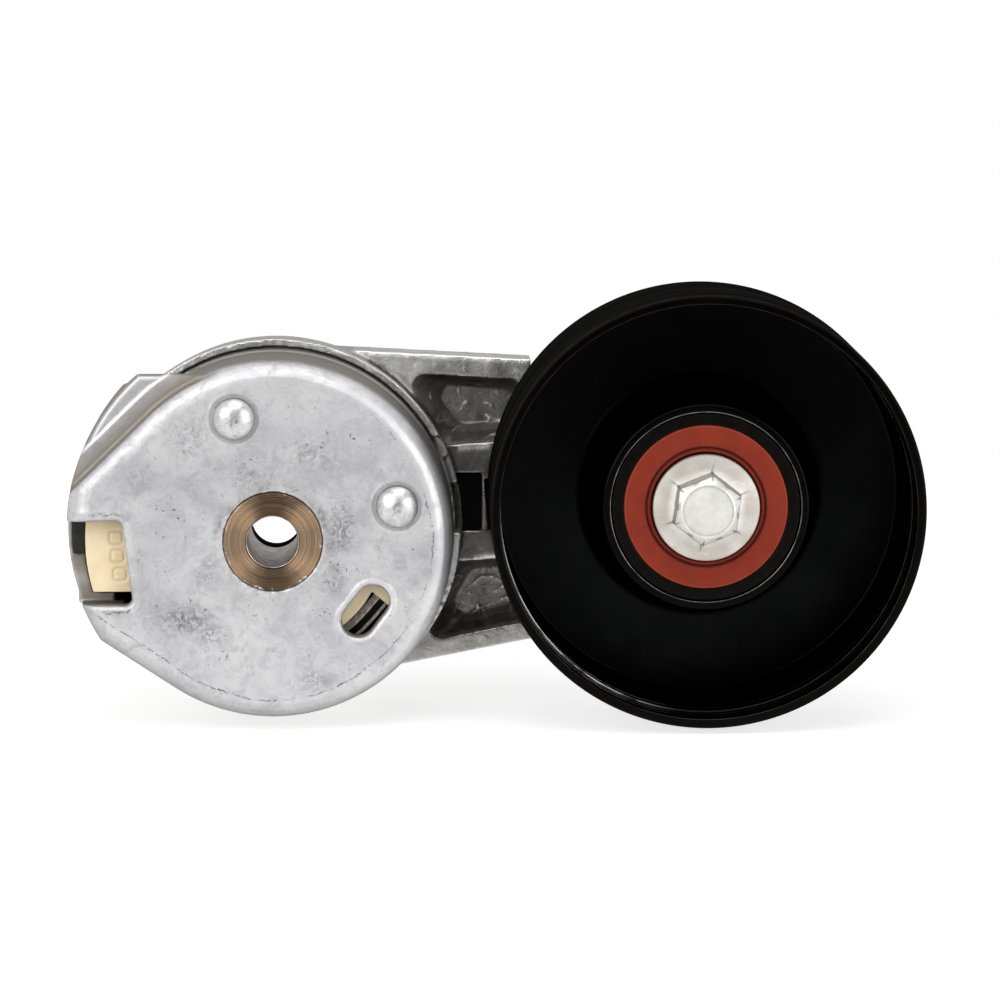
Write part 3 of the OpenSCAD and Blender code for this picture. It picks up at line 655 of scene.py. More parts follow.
def cast_arm(r):
    """Bare die-cast metal, with painted shade in its pockets, flow lines, painted highlights on edges and
    ridges, and some wear on its edges.
    """
    r.base = tuple(colours().arm_grey)
    clouds = r.noise(9, 5, 0.64, twist=1.0)
    fine = r.noise(1.3, 5, 0.72, twist=1.6)
    r.start(r.span(clouds, 0.32, 0.68), (0.74, 0.725, 0.70), (1.40, 1.37, 1.33))
    streak = r.span(r.noise(3.6, 6, 0.74, scale=(0.6, 1, 1.3), twist=1.8), 0.54, 0.72)
    r.over(2.0, streak, 0.55)
    # The lip's paler metal, with painted light on the shoulder beside it, which lies in shade.
    r.plain((0.52, 0.515, 0.505), r.mark("lip"), 0.85)
    r.over(0.42, r.span(fine, 0.52, 0.68), 0.45)
    # Painted shade: the pockets, the middle block and the cup behind the pulley are made dark.
    dark = r.mark("dark")
    deep = r.tint(r.span(clouds, 0.35, 0.65), times(r.base, 0.20), times(r.base, 0.42))
    deep = r.tint(r.product(streak, 0.5), deep, times(r.base, 0.75))
    r.plain(deep, dark, 0.95)
    # Painted reflection: a tan lit patch on the upper pocket's left slope.
    r.over((0.95, 0.86, 0.74), r.mark("warm"), 0.7)
    # Painted highlights on the block's edges, the beam's top edge, the flow ridges and the shoulder.
    r.over(2.5, r.mark("bare"), r.span(fine, 0.36, 0.56, 0.4, 1.0))
    shift = r.add("ShaderNodeVectorMath", {0: r.place(), 1: r.noise(7, 3, 0.6)}, operation="ADD")
    cracks = r.span(r.cells(6.5, "DISTANCE_TO_EDGE", shift), 0.03, 0.0)
    cracks = r.product(cracks, r.span(r.noise(9, 2, 0.5), 0.5, 0.62))
    r.over(0.08, cracks, 0.6)
    # Edges made lighter, partly wear and partly painted highlight.
    wear_and_highlight = r.span(r.mark("bend"), 0.26, 0.95)
    r.over(2.5, wear_and_highlight, r.span(fine, 0.36, 0.5, 0.2, 1.0))
    # Inner corners made darker, partly soiling and partly painted shade.
    dirt_and_shade = r.span(r.mark("bend"), -0.25, -1.3)
    r.over(0.08, dirt_and_shade, 0.75)
    r.bump(r.noise(0.6, 4, 0.65), 0.3, 0.07)
    r.bump(r.noise(2.6, 5, 0.66, twist=1.0), 0.6, 0.36)
    r.bump(r.product(cracks, -1.0), 0.5, 0.12)
    return r.done(r.span(clouds, 0.3, 0.7, 0.24, 0.42), Metallic=0.8, Specular_Tint=(0.40, 0.39, 0.37, 1.0))


def turned_steel(r):
    """Brownish turned steel with rings left by the tool, a painted sheen of lighter and darker sectors, and a
    grey bore with painted shade at its far end.
    """
    r.base = tuple(colours().tube_brown)
    fine = r.rings((0, 0), 0.16)
    broad = r.rings((0, 0), 0.8, 2, 0.5)
    reach = r.from_line(0, 0)
    r.start(r.span(fine, 0.3, 0.7), 0.66, 1.2)
    r.over((1.3, 1.35, 1.42), r.span(broad, 0.45, 0.66), 0.7)
    # Painted sheen: a fan of lighter and darker sectors round the face.
    across = r.math("DIVIDE", r.axis("X"), reach)
    upward = r.math("DIVIDE", r.axis("Z"), reach)
    drift = r.product(r.math("SUBTRACT", r.noise(5, 3, 0.6), 0.5), 0.5)
    fan = r.math("ADD", r.product(across, across), drift)
    streak = r.product(r.math("ABSOLUTE", r.product(across, upward)), 2.0)
    r.over((1.8, 1.66, 1.5), r.span(streak, 0.55, 1.0), r.span(fan, 0.2, 0.6), 0.6)
    r.over((0.30, 0.29, 0.275), r.span(fan, 0.42, 0.06), 0.9)
    line = r.band(reach, 0.0071, 0.00010)
    r.over(0.3, line, 0.6)
    smear = r.product(r.span(reach, 0.0096, 0.0101), r.span(r.noise(1.7, 4, 0.7), 0.56, 0.60))
    smear = r.product(smear, r.span(r.axis("Z"), 0.004, -0.006, 0.25, 1.0))
    r.plain((0.78, 0.77, 0.76), smear)
    bore = r.span(reach, 0.00555, 0.00538)
    thread = r.noise(0.7, 4, 0.72, scale=(0.35, 1.0, 0.35))
    grey = r.tint(r.span(thread, 0.38, 0.62), (0.10, 0.10, 0.105), (0.66, 0.66, 0.68))
    # Painted shade at the far end of the bore, where the metal's sheen is turned off too.
    end = r.product(bore, r.span(r.axis("Y"), 0.0300, 0.0312))
    r.plain(grey, bore)
    r.plain((0.030, 0.026, 0.019), end)
    bright = r.span(end, 0.0, 1.0, 0.95, 0.0)
    r.bump(fine, 0.35, 0.04)
    r.bump(r.noise(0.5, 3, 0.6), 0.12, 0.03)
    rough = r.span(broad, 0.3, 0.7, 0.28, 0.40)
    return r.done(rough, Metallic=bright, Specular_IOR_Level=0.0, Specular_Tint=(0.6, 0.56, 0.5, 1.0))


def black_coat(r):
    """Black coat on the pressed pulley: glossy in the hollow, dull on the belt's face, with thin pale lines
    that are partly wear and partly painted highlight.
    """
    r.base = tuple(colours().pulley_black)
    reach = r.from_line(*PULLEY)
    r.start(r.span(r.noise(20, 4, 0.6), 0.35, 0.7), 0.7, 1.3)
    rim = r.span(r.axis("Y"), (PULLEY_NEAR + 0.8) * MM, (PULLEY_NEAR + 0.4) * MM)
    dust = r.product(r.span(r.cells(2.4), 0.06, 0.03), r.span(r.noise(12, 2, 0.5), 0.52, 0.64))
    r.plain((0.09, 0.088, 0.08), dust, 0.35)
    polish = r.span(r.noise(1.4, 4, 0.65, scale=(0.02, 1.0, 0.02)), 0.40, 0.66)
    r.plain((0.017, 0.0168, 0.016), polish, r.span(reach, 0.0449, 0.0452), 0.8)
    inner = r.span(reach, 0.0445, 0.0440)
    r.plain((0.0050, 0.0052, 0.0054), inner, 0.8)
    # Painted highlights: pale arcs on the inner wall, strongest on one side, where the coat's metal sheen is
    # turned off.
    highlight_side = 218
    way = r.along(highlight_side)
    way = r.math("SUBTRACT", way, swung(*PULLEY, highlight_side)[0] * MM)
    lit = r.span(r.math("DIVIDE", way, reach), 0.72, 0.96, 0.16, 1.0)
    wall = r.product(lit, r.span(reach, 0.0428, 0.0430), r.span(reach, 0.0441, 0.0439))
    coat = r.span(reach, 0.0449, 0.0446)
    patchy = r.span(r.noise(6, 3, 0.6), 0.3, 0.5, 0.3, 1.0)
    for level, pale in ((-0.6, 0.30), (2.2, 0.60), (4.4, 0.90), (9.8, 0.55)):
        line = r.product(wall, r.band(r.axis("Y"), level * MM, 0.00045), patchy)
        r.plain((pale, pale, pale), line)
        coat = r.math("MULTIPLY", coat, r.math("SUBTRACT", 1.0, line))
    # Thin pale lines on the rim's edges and the hub's edge, partly wear and partly painted highlight.
    rub_and_highlight = r.span(r.noise(4, 4, 0.6), 0.34, 0.60, 0.25, 1.0)
    rim_low, rim_high = PULLEY_NEAR + 1.1, PULLEY_NEAR + 0.5
    for middle, half, low, high, pale in (
        (45.26, 0.10, rim_low, rim_high, 0.075),
        (43.52, 0.10, rim_low, rim_high, 0.10),
        (20.12, 0.13, 6.2, 5.7, 0.34),
    ):
        ring = r.band(reach, middle * MM, half * MM)
        line = r.product(ring, r.span(r.axis("Y"), low * MM, high * MM), rub_and_highlight)
        r.plain((pale, pale * 0.97, pale * 0.88), line, 0.9)
    r.plain((0.0058, 0.0053, 0.0038), rim, r.span(reach, 0.0434, 0.0435), 0.7)
    r.bump(r.noise(1.6, 3, 0.5), 0.05, 0.05)
    rough = r.span(r.noise(9, 4, 0.6), 0.35, 0.7, 0.20, 0.30)
    return r.done(rough, Metallic=coat, Specular_IOR_Level=0.0, Specular_Tint=(0.10, 0.10, 0.11, 1.0))


def dark_ring(r):
    """Black-oxide steel of the bearing's rings."""
    r.start(r.span(r.noise(3, 4, 0.6), 0.35, 0.7), (0.0018, 0.0017, 0.0013), (0.0036, 0.0034, 0.0027))
    r.plain((0.007, 0.0065, 0.0055), r.span(r.rings(PULLEY, 0.3), 0.55, 0.7), 0.4)
    r.bump(r.noise(0.4, 3, 0.6), 0.10, 0.03)
    return r.done(r.span(r.noise(2, 3, 0.6), 0.3, 0.7, 0.28, 0.40), Specular_IOR_Level=0.05)


def seal_red(r):
    """Red-brown seal rubber with faint moulding rings, painted shade in the groove by its lip, a painted
    highlight round its outer edge and a dusty bloom.
    """
    r.base = tuple(colours().seal_red)
    reach = r.from_line(*PULLEY)
    r.start(r.span(r.noise(4, 5, 0.65), 0.3, 0.72), 0.84, 1.12)
    fine = r.rings(PULLEY, 0.4, 2, 0.5)
    r.over(1.3, r.span(fine, 0.5, 0.7), 0.2)
    bloom = r.span(r.noise(1.4, 4, 0.7), 0.6, 0.75)
    r.plain((0.30, 0.10, 0.07), bloom, 0.12)
    # Painted shade in the groove by the lip.
    r.over(0.08, r.band(reach, 0.01250, 0.00060), 0.95)
    # Painted highlight: a thin pale line round the outer edge.
    r.over((1.7, 3.0, 3.6), r.band(reach, 0.01708, 0.00022), 0.8)
    specks = r.product(r.span(r.cells(1.7), 0.07, 0.03), r.span(r.noise(5, 2, 0.5), 0.45, 0.6))
    r.plain((0.50, 0.34, 0.28), specks, 0.6)
    r.bump(fine, 0.10, 0.03)
    r.bump(r.noise(0.35, 3, 0.6), 0.16, 0.03)
    return r.done(r.span(bloom, 0, 1, 0.46, 0.6), Specular_IOR_Level=0.16)


def plated_steel(r):
    """Pale flake plating with a fine orange-peel, grey rubs and dark specks, painted shade on the hexagon's
    flanks and in its corners, and edges lightened by wear and painted highlight.
    """
    r.base = tuple(colours().bolt_silver)
    r.start(r.span(r.noise(3.2, 5, 0.65), 0.35, 0.7), 0.86, 1.08)
    rub = r.span(r.noise(1.9, 6, 0.72, twist=0.9), 0.57, 0.72)
    r.over((0.60, 0.585, 0.555), rub, 0.42)
    specks = r.product(r.span(r.cells(1.1), 0.12, 0.05), r.span(r.noise(3, 2, 0.5), 0.54, 0.64))
    r.over(0.2, specks, 0.6)
    r.over((0.70, 0.665, 0.62), r.mark("flange"))
    scrape = r.span(r.noise(1.6, 4, 0.7, scale=(0.5, 1, 1.8), twist=0.7), 0.60, 0.68)
    r.over(1.15, scrape, 0.4)
    # Painted shade: the hexagon's side flats are made darker.
    flank = r.span(r.math("ABSOLUTE", r.facing("Y")), 0.80, 0.40)
    r.over((0.50, 0.475, 0.43), flank, 0.85)
    # Inner corners made darker, partly soiling and partly painted shade.
    dirt_and_shade = r.span(r.mark("bend"), -0.1, -1.0)
    r.over((0.22, 0.21, 0.19), dirt_and_shade, r.span(r.noise(0.9, 4, 0.7), 0.34, 0.55, 0.35, 1.0))
    # Edges made lighter, partly wear and partly painted highlight.
    wear_and_highlight = r.span(r.mark("bend"), 0.4, 2.0)
    r.over(1.2, wear_and_highlight, 0.5)
    r.bump(r.noise(0.8, 4, 0.6), 0.3, 0.06)
    r.bump(r.noise(0.25, 2, 0.5), 0.12, 0.02)
    return r.done(r.span(rub, 0, 1, 0.38, 0.5), Metallic=0.5)


def cream_plastic(r):
    """Cream moulded plastic with a fine spark grain and faint grey handling marks."""
    r.base = tuple(colours().cream)
    r.start(r.span(r.noise(7, 4, 0.6), 0.35, 0.7), (0.93, 0.91, 0.86), (1.05, 1.07, 1.12))
    marks = r.span(r.noise(3, 5, 0.7), 0.6, 0.74)
    r.over((0.74, 0.70, 0.62), marks, 0.2)
    # Hollows and corners made darker, partly soiling and partly painted shade.
    dirt_and_shade = r.span(r.mark("bend"), -0.3, -1.5)
    r.over((0.72, 0.62, 0.44), dirt_and_shade, 0.45)
    r.bump(r.noise(0.3, 3, 0.6), 0.12, 0.03)
    rough = r.span(marks, 0, 1, 0.45, 0.58)
    return r.done(rough, Subsurface_Weight=0.15, Subsurface_Radius=(0.002, 0.0014, 0.0008))


def black_rubber(r):
    """Matt black friction lining with short pale fibres."""
    r.start(r.span(r.noise(2.5, 4, 0.6), 0.35, 0.7), (0.008, 0.008, 0.007), (0.022, 0.021, 0.018))
    fibre = r.span(r.noise(0.7, 3, 0.6, scale=(1, 0.15, 1)), 0.64, 0.72)
    r.plain((0.09, 0.085, 0.07), fibre, 0.3)
    r.bump(r.noise(0.5, 4, 0.65), 0.35, 0.08)
    return r.done(r.span(r.noise(1.5, 3, 0.6), 0.3, 0.7, 0.5, 0.7), Specular_IOR_Level=0.25)


def black_plastic(r):
    """Black moulded plastic with a satin spark grain."""
    r.start(r.span(r.noise(4, 4, 0.6), 0.35, 0.7), (0.0016, 0.0016, 0.0015), (0.0034, 0.0034, 0.0030))
    r.bump(r.noise(0.35, 3, 0.6), 0.2, 0.03)
    return r.done(r.span(r.noise(2, 3, 0.6), 0.3, 0.7, 0.32, 0.46), Specular_IOR_Level=0.05)


def spring_steel(r):
    """Oiled dark spring wire, ground bright along its near end's inner edge, with one thin painted highlight
    line.
    """
    r.start(r.span(r.noise(3, 5, 0.65), 0.35, 0.7), (0.004, 0.0037, 0.003), (0.010, 0.0095, 0.008))
    lines = r.noise(0.8, 3, 0.6)
    ground = r.tint(r.span(lines, 0.35, 0.65), (0.50, 0.48, 0.43), (0.90, 0.87, 0.80))
    # The ground mark holds the ground strip and a painted highlight line.
    r.plain(ground, r.span(r.mark("ground"), 0.4, 0.6))
    r.bump(r.noise(0.6, 4, 0.6), 0.2, 0.04)
    rough = r.span(r.noise(2, 3, 0.6), 0.3, 0.7, 0.26, 0.40)
    return r.done(rough, Metallic=0.25, Specular_IOR_Level=0.2, Specular_Tint=(0.3, 0.3, 0.3, 1.0))


def bush_bronze(r):
    """Sintered bronze with open pores."""
    r.start(r.span(r.noise(3, 4, 0.6), 0.35, 0.7), (0.36, 0.21, 0.07), (0.56, 0.36, 0.15))
    pores = r.span(r.cells(0.6), 0.2, 0.08)
    r.plain((0.08, 0.05, 0.02), pores, 0.7)
    r.bump(r.product(pores, -1.0), 0.4, 0.05)
    return r.done(r.span(pores, 0, 1, 0.35, 0.6), Metallic=0.9)


def bearing_steel(r):
    """Ground bearing steel with fine lines round the bearing."""
    fine = r.rings(PULLEY, 0.2)
    r.start(r.span(fine, 0.3, 0.7), (0.50, 0.50, 0.49), (0.68, 0.68, 0.67))
    r.bump(fine, 0.12, 0.02)
    return r.done(r.span(r.noise(3, 3, 0.6), 0.3, 0.7, 0.14, 0.26), Metallic=1.0)


MAKERS = (
    cast_case,
    domed_pin,
    cast_arm,
    turned_steel,
    black_coat,
    dark_ring,
    seal_red,
    plated_steel,
    cream_plastic,
    black_rubber,
    black_plastic,
    spring_steel,
    bush_bronze,
    bearing_steel,
)
FINISHES = {}


def finish(name):
    """The finish of that name, made on its first use."""
    if name not in FINISHES:
        maker = {m.__name__: m for m in MAKERS}[name]
        FINISHES[name] = maker(Recipe(name))
    return FINISHES[name]


class TENSIONER_OT_stage(bpy.types.Operator):
    """Adds the floor, the lamps, the white surroundings and the camera"""

    bl_idname = "tensioner.stage"
    bl_label = "Stage"

    def execute(self, context):
        scene = context.scene
        scene.view_settings.view_transform = "Standard"
        floor = bpy.data.meshes.new("floor")
        low = CAD_BOX[0][2] - FLOOR_DROP
        middle = ((CAD_BOX[0][0] + CAD_BOX[1][0]) / 2, (CAD_BOX[0][1] + CAD_BOX[1][1]) / 2)
        steps = 128
        rim = [2 * math.pi * k / steps for k in range(steps)]
        corners = [(middle[0] + FLOOR_R * math.cos(a), middle[1] + FLOOR_R * math.sin(a), low) for a in rim]
        floor.from_pydata(corners, [], [tuple(range(steps))])
        ground = bpy.data.objects.new("floor", floor)
        context.collection.objects.link(ground)
        floor.materials.append(self.floor_finish())
        self.surroundings(scene)
        for name, place, aim, size, power in LAMPS:
            lamp = bpy.data.lights.new(name, "AREA")
            lamp.shape = "SQUARE"
            lamp.size = size
            lamp.energy = power
            obj = bpy.data.objects.new(name, lamp)
            self.look(obj, place, aim)
            context.collection.objects.link(obj)
        eye = bpy.data.cameras.new("camera")
        eye.sensor_width = 36
        eye.lens = sizes().lens
        eye.clip_end = 50
        camera = bpy.data.objects.new("camera", eye)
        self.look(camera, CAMERA_PLACE, CAMERA_AIM)
        context.collection.objects.link(camera)
        scene.camera = camera
        return {"FINISHED"}

    def look(self, obj, place, aim):
        """Puts a lamp or the camera in its place, turned to its aim."""
        obj.location = place
        obj.rotation_euler = (Vector(aim) - obj.location).to_track_quat("-Z", "Y").to_euler()

    def floor_finish(self):
        """White paper that keeps the shadow, and shows white to direct and mirrored rays."""
        material = bpy.data.materials.new("floor")
        material.use_nodes = True
        tree = material.node_tree
        tree.nodes.clear()
        path = tree.nodes.new("ShaderNodeLightPath").outputs
        shown = combined(tree, "MAXIMUM", path["Is Camera Ray"], path["Is Glossy Ray"])
        shown = combined(tree, "MAXIMUM", shown, path["Is Transmission Ray"])
        paper = add_node(tree, "ShaderNodeBsdfDiffuse", {"Color": (0.85, 0.85, 0.85, 1)})
        thin = add_node(tree, "ShaderNodeBsdfDiffuse", {"Color": (0.42, 0.42, 0.42, 1)})
        glow = add_node(tree, "ShaderNodeEmission", {"Color": (1, 1, 1, 1), "Strength": 0.76})
        lit = add_node(tree, "ShaderNodeAddShader", {0: glow, 1: thin})
        mix = add_node(tree, "ShaderNodeMixShader", {0: shown, 1: paper, 2: lit})
        tree.links.new(mix, tree.nodes.new("ShaderNodeOutputMaterial").inputs["Surface"])
        return material

    def surroundings(self, scene):
        """Soft even light, white to direct rays, and white in mirrors but for a dim room in front."""
        world = bpy.data.worlds.new("surroundings")
        scene.world = world
        world.use_nodes = True
        tree = world.node_tree
        tree.nodes.clear()
        soft, white, room = 0.38, 1.0, 0.15
        path = tree.nodes.new("ShaderNodeLightPath").outputs
        way = tree.nodes.new("ShaderNodeTexCoord").outputs["Generated"]
        depth = add_node(tree, "ShaderNodeSeparateXYZ", {0: way}, "Y")
        fade = {"Value": depth, "From Min": 0.05, "From Max": -0.55, "To Min": white, "To Max": room}
        ahead = add_node(tree, "ShaderNodeMapRange", fade, interpolation_type="SMOOTHSTEP")
        direct = combined(tree, "MAXIMUM", path["Is Camera Ray"], path["Is Transmission Ray"])
        strength = combined(tree, "ADD", combined(tree, "MULTIPLY", direct, white - soft), soft)
        mirrored = combined(tree, "SUBTRACT", ahead, strength)
        mirrored = combined(tree, "MULTIPLY", mirrored, path["Is Glossy Ray"])
        strength = combined(tree, "ADD", strength, mirrored)
        sky = add_node(tree, "ShaderNodeBackground", {"Color": (1, 1, 1, 1), "Strength": strength})
        tree.links.new(sky, tree.nodes.new("ShaderNodeOutputWorld").inputs["Surface"])


def slot_distance(points):
    """Distance in millimetres of points from the edge of the slot, below nought inside it."""
    reach, angle, width, length = SLOT
    x, z = polar(reach, angle)
    across, along = swung(points[:, 0] - x, points[:, 2] - z, angle)
    past = np.maximum(np.abs(along) - (length - width) / 2, 0)
    return np.hypot(past, across) - width / 2


def window_distance(points):
    """Distance in millimetres of points from the rounded edge of the window, below nought inside it."""
    flat = points[:, ::2]
    corners = np.array(WINDOW)
    inside = np.full(len(points), -np.inf)
    away = np.full(len(points), np.inf)
    for here, there in zip(corners, np.roll(corners, -1, axis=0)):
        side = there - here
        way = side / np.linalg.norm(side)
        out = (flat - here) @ np.array((-way[1], way[0]))
        inside = np.maximum(inside, out)
        along = np.clip((flat - here) @ side / (side @ side), 0, 1)
        away = np.minimum(away, np.linalg.norm(flat - here - along[:, None] * side, axis=1))
    return np.where(inside > 0, away, inside) - WINDOW_CORNER


class TENSIONER_OT_case(bpy.types.Operator):
    """Makes the cast spring case, with its soft edges, raised lips, pin seats, rim bead and uneven skin"""

    bl_idname = "tensioner.case"
    bl_label = "Spring case"

    def ledge(self, p, reach):
        """Shapes the ledge beside the face, and gives its painted shade, browned in part, its painted
        highlights and its painted shade line at the junction.
        """
        x, y, z = p.T
        beside, along = swung(x, z, LOBE_UPPER)
        past = np.where(along > 0, beside, reach) - CASE_R
        edge = LOBE[1] - np.hypot(x, z - LOBE[0])
        edge = np.minimum(edge, LEDGE_TOP - z)
        near = ramp(x, -11, -16) * (z > 4) * ramp(y, 8.6, 7.8) * ramp(past, -1.6, -1.0)
        flat = near * ramp(past, 3.2, 3.8)
        y += 0.5 * near * hill(past + 0.65, 0.5)
        y -= 0.12 * near * hill(past - 3.1, 0.28)
        y += 0.9 * flat * ramp(edge, 0.8, 0.0) - 0.2 * flat * hill(edge - 1.1, 0.3)
        tilt = ramp(z, 31, 34) * ramp(x, -12, -17) * ramp(reach, 38.2, 39.6)
        z -= 0.15 * tilt * np.maximum(y - 7.4, 0)
        # Painted shade, browned in part: on the junction and the slope below the crest, on the flat beyond,
        # and on the flat's outer bevel.
        slope = (0.4 + 0.6 * ramp(past, 2.6, -0.2)) * ramp(past, -0.8, -0.5) * ramp(past, 2.9, 2.6)
        brown = hill(past + 0.65, 0.55) + slope
        grime_and_shade = near * np.maximum(np.minimum(brown, 1), 0.35 * (past > 3.4))
        grime_and_shade = np.maximum(grime_and_shade, 0.85 * flat * ramp(edge, 0.75, 0.45))
        # Painted highlights along the crest and along the flat's edge.
        bare = 0.8 * near * np.maximum(hill(past - 3.1, 0.25), flat * hill(edge - 1.15, 0.25))
        # Painted shade: a dark line along the junction with the face.
        crease = 0.85 * near * hill(past + 0.8, 0.3)
        return {"grime_and_shade": grime_and_shade, "bare": bare, "crease": crease}

    def execute(self, context):
        mesh = grained("spring_case", sizes().case_grain, 3, [SHELF])
        p = read_points(mesh)
        x, y, z = p.T
        reach = np.hypot(x, z)
        marks = self.ledge(p, reach)
        face = ramp(y, 1.6, 0.6)
        flat = p[:, ::2]
        rise = 0.30 * hill(slot_distance(p) - 0.85, 0.42) - 0.06 * hill(slot_distance(p) - 2.2, 0.8)
        window = window_distance(p)
        rise += 0.16 * hill(window - 1.9, 0.5) - 0.35 * hill(np.maximum(window, 0), 0.45)
        for pin_reach, angle in PIN_PLACES:
            pin_x, pin_z = polar(pin_reach, angle)
            away = np.hypot(x - pin_x, z - pin_z)
            rise += 0.14 * hill(away - 5.3, 0.24) - 0.03 * hill(away - 4.75, 0.3)
        rise += 0.12 * hill(reach - 16, 3.4) - 0.12 * hill(reach - 12.3, 1.3)
        rise += 0.20 * hill(reach - 10.6, 0.35) * ramp(waves(flat, 2.6, 4), 0.35, 0.8)
        rise += 0.06 * waves(flat, 17, 3) + 0.025 * waves(flat, 6, 6)
        y -= np.minimum(rise * face, y - 0.02)
        wall = ramp(y, 22.2, 23.2) * (np.abs(reach - CASE_R) < 0.6) * (y < CASE_FAR - 0.1)
        p[:, ::2] *= (1 + 0.36 * wall / np.maximum(reach, 1))[:, None]
        ragged = ramp(np.abs(y - CASE_FAR), 0.9, 0) * (reach > CASE_R - 0.7)
        y -= ragged * 0.10 * (1 + waves(p, 3.2, 8))
        write_points(mesh, p)
        # Painted shade inside the window, lighter in a band about z = -8.6.
        inside = ramp(window, 0.1, -0.5) * ramp(y, 1.4, 3.0) * (x < -28)
        marks["grime_and_shade"] = np.maximum(marks["grime_and_shade"], inside * (0.95 - 0.35 * hill(z + 8.6, 1.6)))
        beside = window + 0.25 * waves(flat, 2.4, 41)
        upper = hill(beside - 1.5, 0.16) * ramp(z, 4.2, 5.0) * ramp(x, -38.5, -37.5) * (x < -30)
        lower = hill(beside - 1.3, 0.16) * (z < -14) * ramp(x, -36.0, -35.0) * (x < -29.5)
        # Painted highlight along the case's round edge on the right.
        right = 0.5 * hill(reach - 35.3, 1.3) * ramp(x, 8, 24) * (y < 4)
        marks["bare"] = np.maximum(marks["bare"], right)
        marks["crease"] = np.maximum(marks["crease"], (upper + lower) * face)
        paint(mesh, bend=bend_of(mesh), **marks)
        piece("case", mesh, "base", "cast_case", "cast_case", "spring_case")
        return {"FINISHED"}


class TENSIONER_OT_tube(bpy.types.Operator):
    """Turns the pivot tube with its ringed face and spread far end"""

    bl_idname = "tensioner.tube"
    bl_label = "Pivot tube"

    def execute(self, context):
        face = []
        for r in np.arange(5.75, 10.1, 0.07):
            ring = 0.011 * math.sin(r * 11.4) + 0.007 * math.sin(r * 29.0 + 1.0)
            step = 0.06 if 7.55 < r < 7.75 else 0.0
            face.append((r, 0.03 + ring + step))
        shank = rounded(
            [
                (10.29, 0.03, 0.3),
                (10.29, 36.5, 0.05),
                (8.0, 36.5, 0.02),
                (8.0, 38.2, 0.1),
                (7.6, 38.98, 0.3),
                (6.2, 38.7, 0.3),
                (5.3, 38.2, 0.15),
                (5.3, 0.45, 0.3),
            ]
        )
        mesh = new_mesh("tube", *turned(face + shank))
        piece("tube", mesh, "base", "turned_steel", "turned_steel", "pivot_tube")
        return {"FINISHED"}


class TENSIONER_OT_pins(bpy.types.Operator):
    """Makes the two domed locating pins"""

    bl_idname = "tensioner.pins"
    bl_label = "Locating pins"

    def execute(self, context):
        all_verts, all_faces = [], []
        dome = [(0.001, PIN_TOP)]
        for k in range(1, 15):
            t = k / 14 * math.radians(62)
            dome.append((PIN_BALL * math.sin(t), PIN_TOP + PIN_BALL * (1 - math.cos(t)) * 0.8))
        profile = dome + [(4.39, -1.0), (4.39, 0.25), (3.5, 0.3), (3.5, 3.85), (0.001, 3.85)]
        for reach, angle in PIN_PLACES:
            verts, faces = turned(profile, polar(reach, angle), 96)
            start = sum(len(v) for v in all_verts)
            all_faces += [tuple(i + start for i in f) for f in faces]
            all_verts.append(verts)
        mesh = new_mesh("pins", np.concatenate(all_verts), all_faces, 50)
        p = read_points(mesh)
        p[:, 1] += 0.03 * waves(p, 3.4, 12) * (p[:, 1] < -0.5)
        p[:, 1] = np.maximum(p[:, 1], PIN_TOP)
        write_points(mesh, p)
        piece("pins", mesh, "base", "cast_case", "domed_pin", "locating_pins")
        return {"FINISHED"}


class TENSIONER_OT_damper(bpy.types.Operator):
    """Makes the cream shoe with its three plain loops, the friction pad and the spring seat"""

    bl_idname = "tensioner.damper"
    bl_label = "Damper"

    def execute(self, context):
        grain = sizes().plastic_grain
        shoe = grained("damper_shoe", grain, 4)
        p = read_points(shoe)
        x, y, z = p.T
        near = ramp(y, 7.4, 6.4)
        groove = np.zeros(len(p))
        for loop_x, loop_z in SHOE_LOOPS:
            across = np.maximum(np.abs(x - loop_x) - 0.65, 0)
            up = np.maximum(np.abs(z - loop_z) - 0.55, 0)
            groove = np.maximum(groove, hill(np.hypot(across, up) - 0.75, 0.28) * near)
        y += 0.24 * groove
        write_points(shoe, p)
        # Painted shade, carried in the shoe's bend mark: in the loops' grooves and toward the shoe's right
        # part.
        deep = 0.9 * groove + 1.1 * ramp(x, -36, -31.5) * near
        paint(shoe, bend=bend_of(shoe) - deep)
        piece("shoe", shoe, "base", "cream_plastic", "cream_plastic", "damper_shoe")
        pad = grained("friction_pad", grain * 0.8, 3)
        piece("pad", pad, "base", "black_rubber", "black_rubber", "friction_pad")
        seat = grained("spring_seat", grain * 1.4, 3)
        paint(seat, bend=bend_of(seat))
        piece("seat", seat, "base", "cream_plastic", "cream_plastic", "spring_seat")
        return {"FINISHED"}


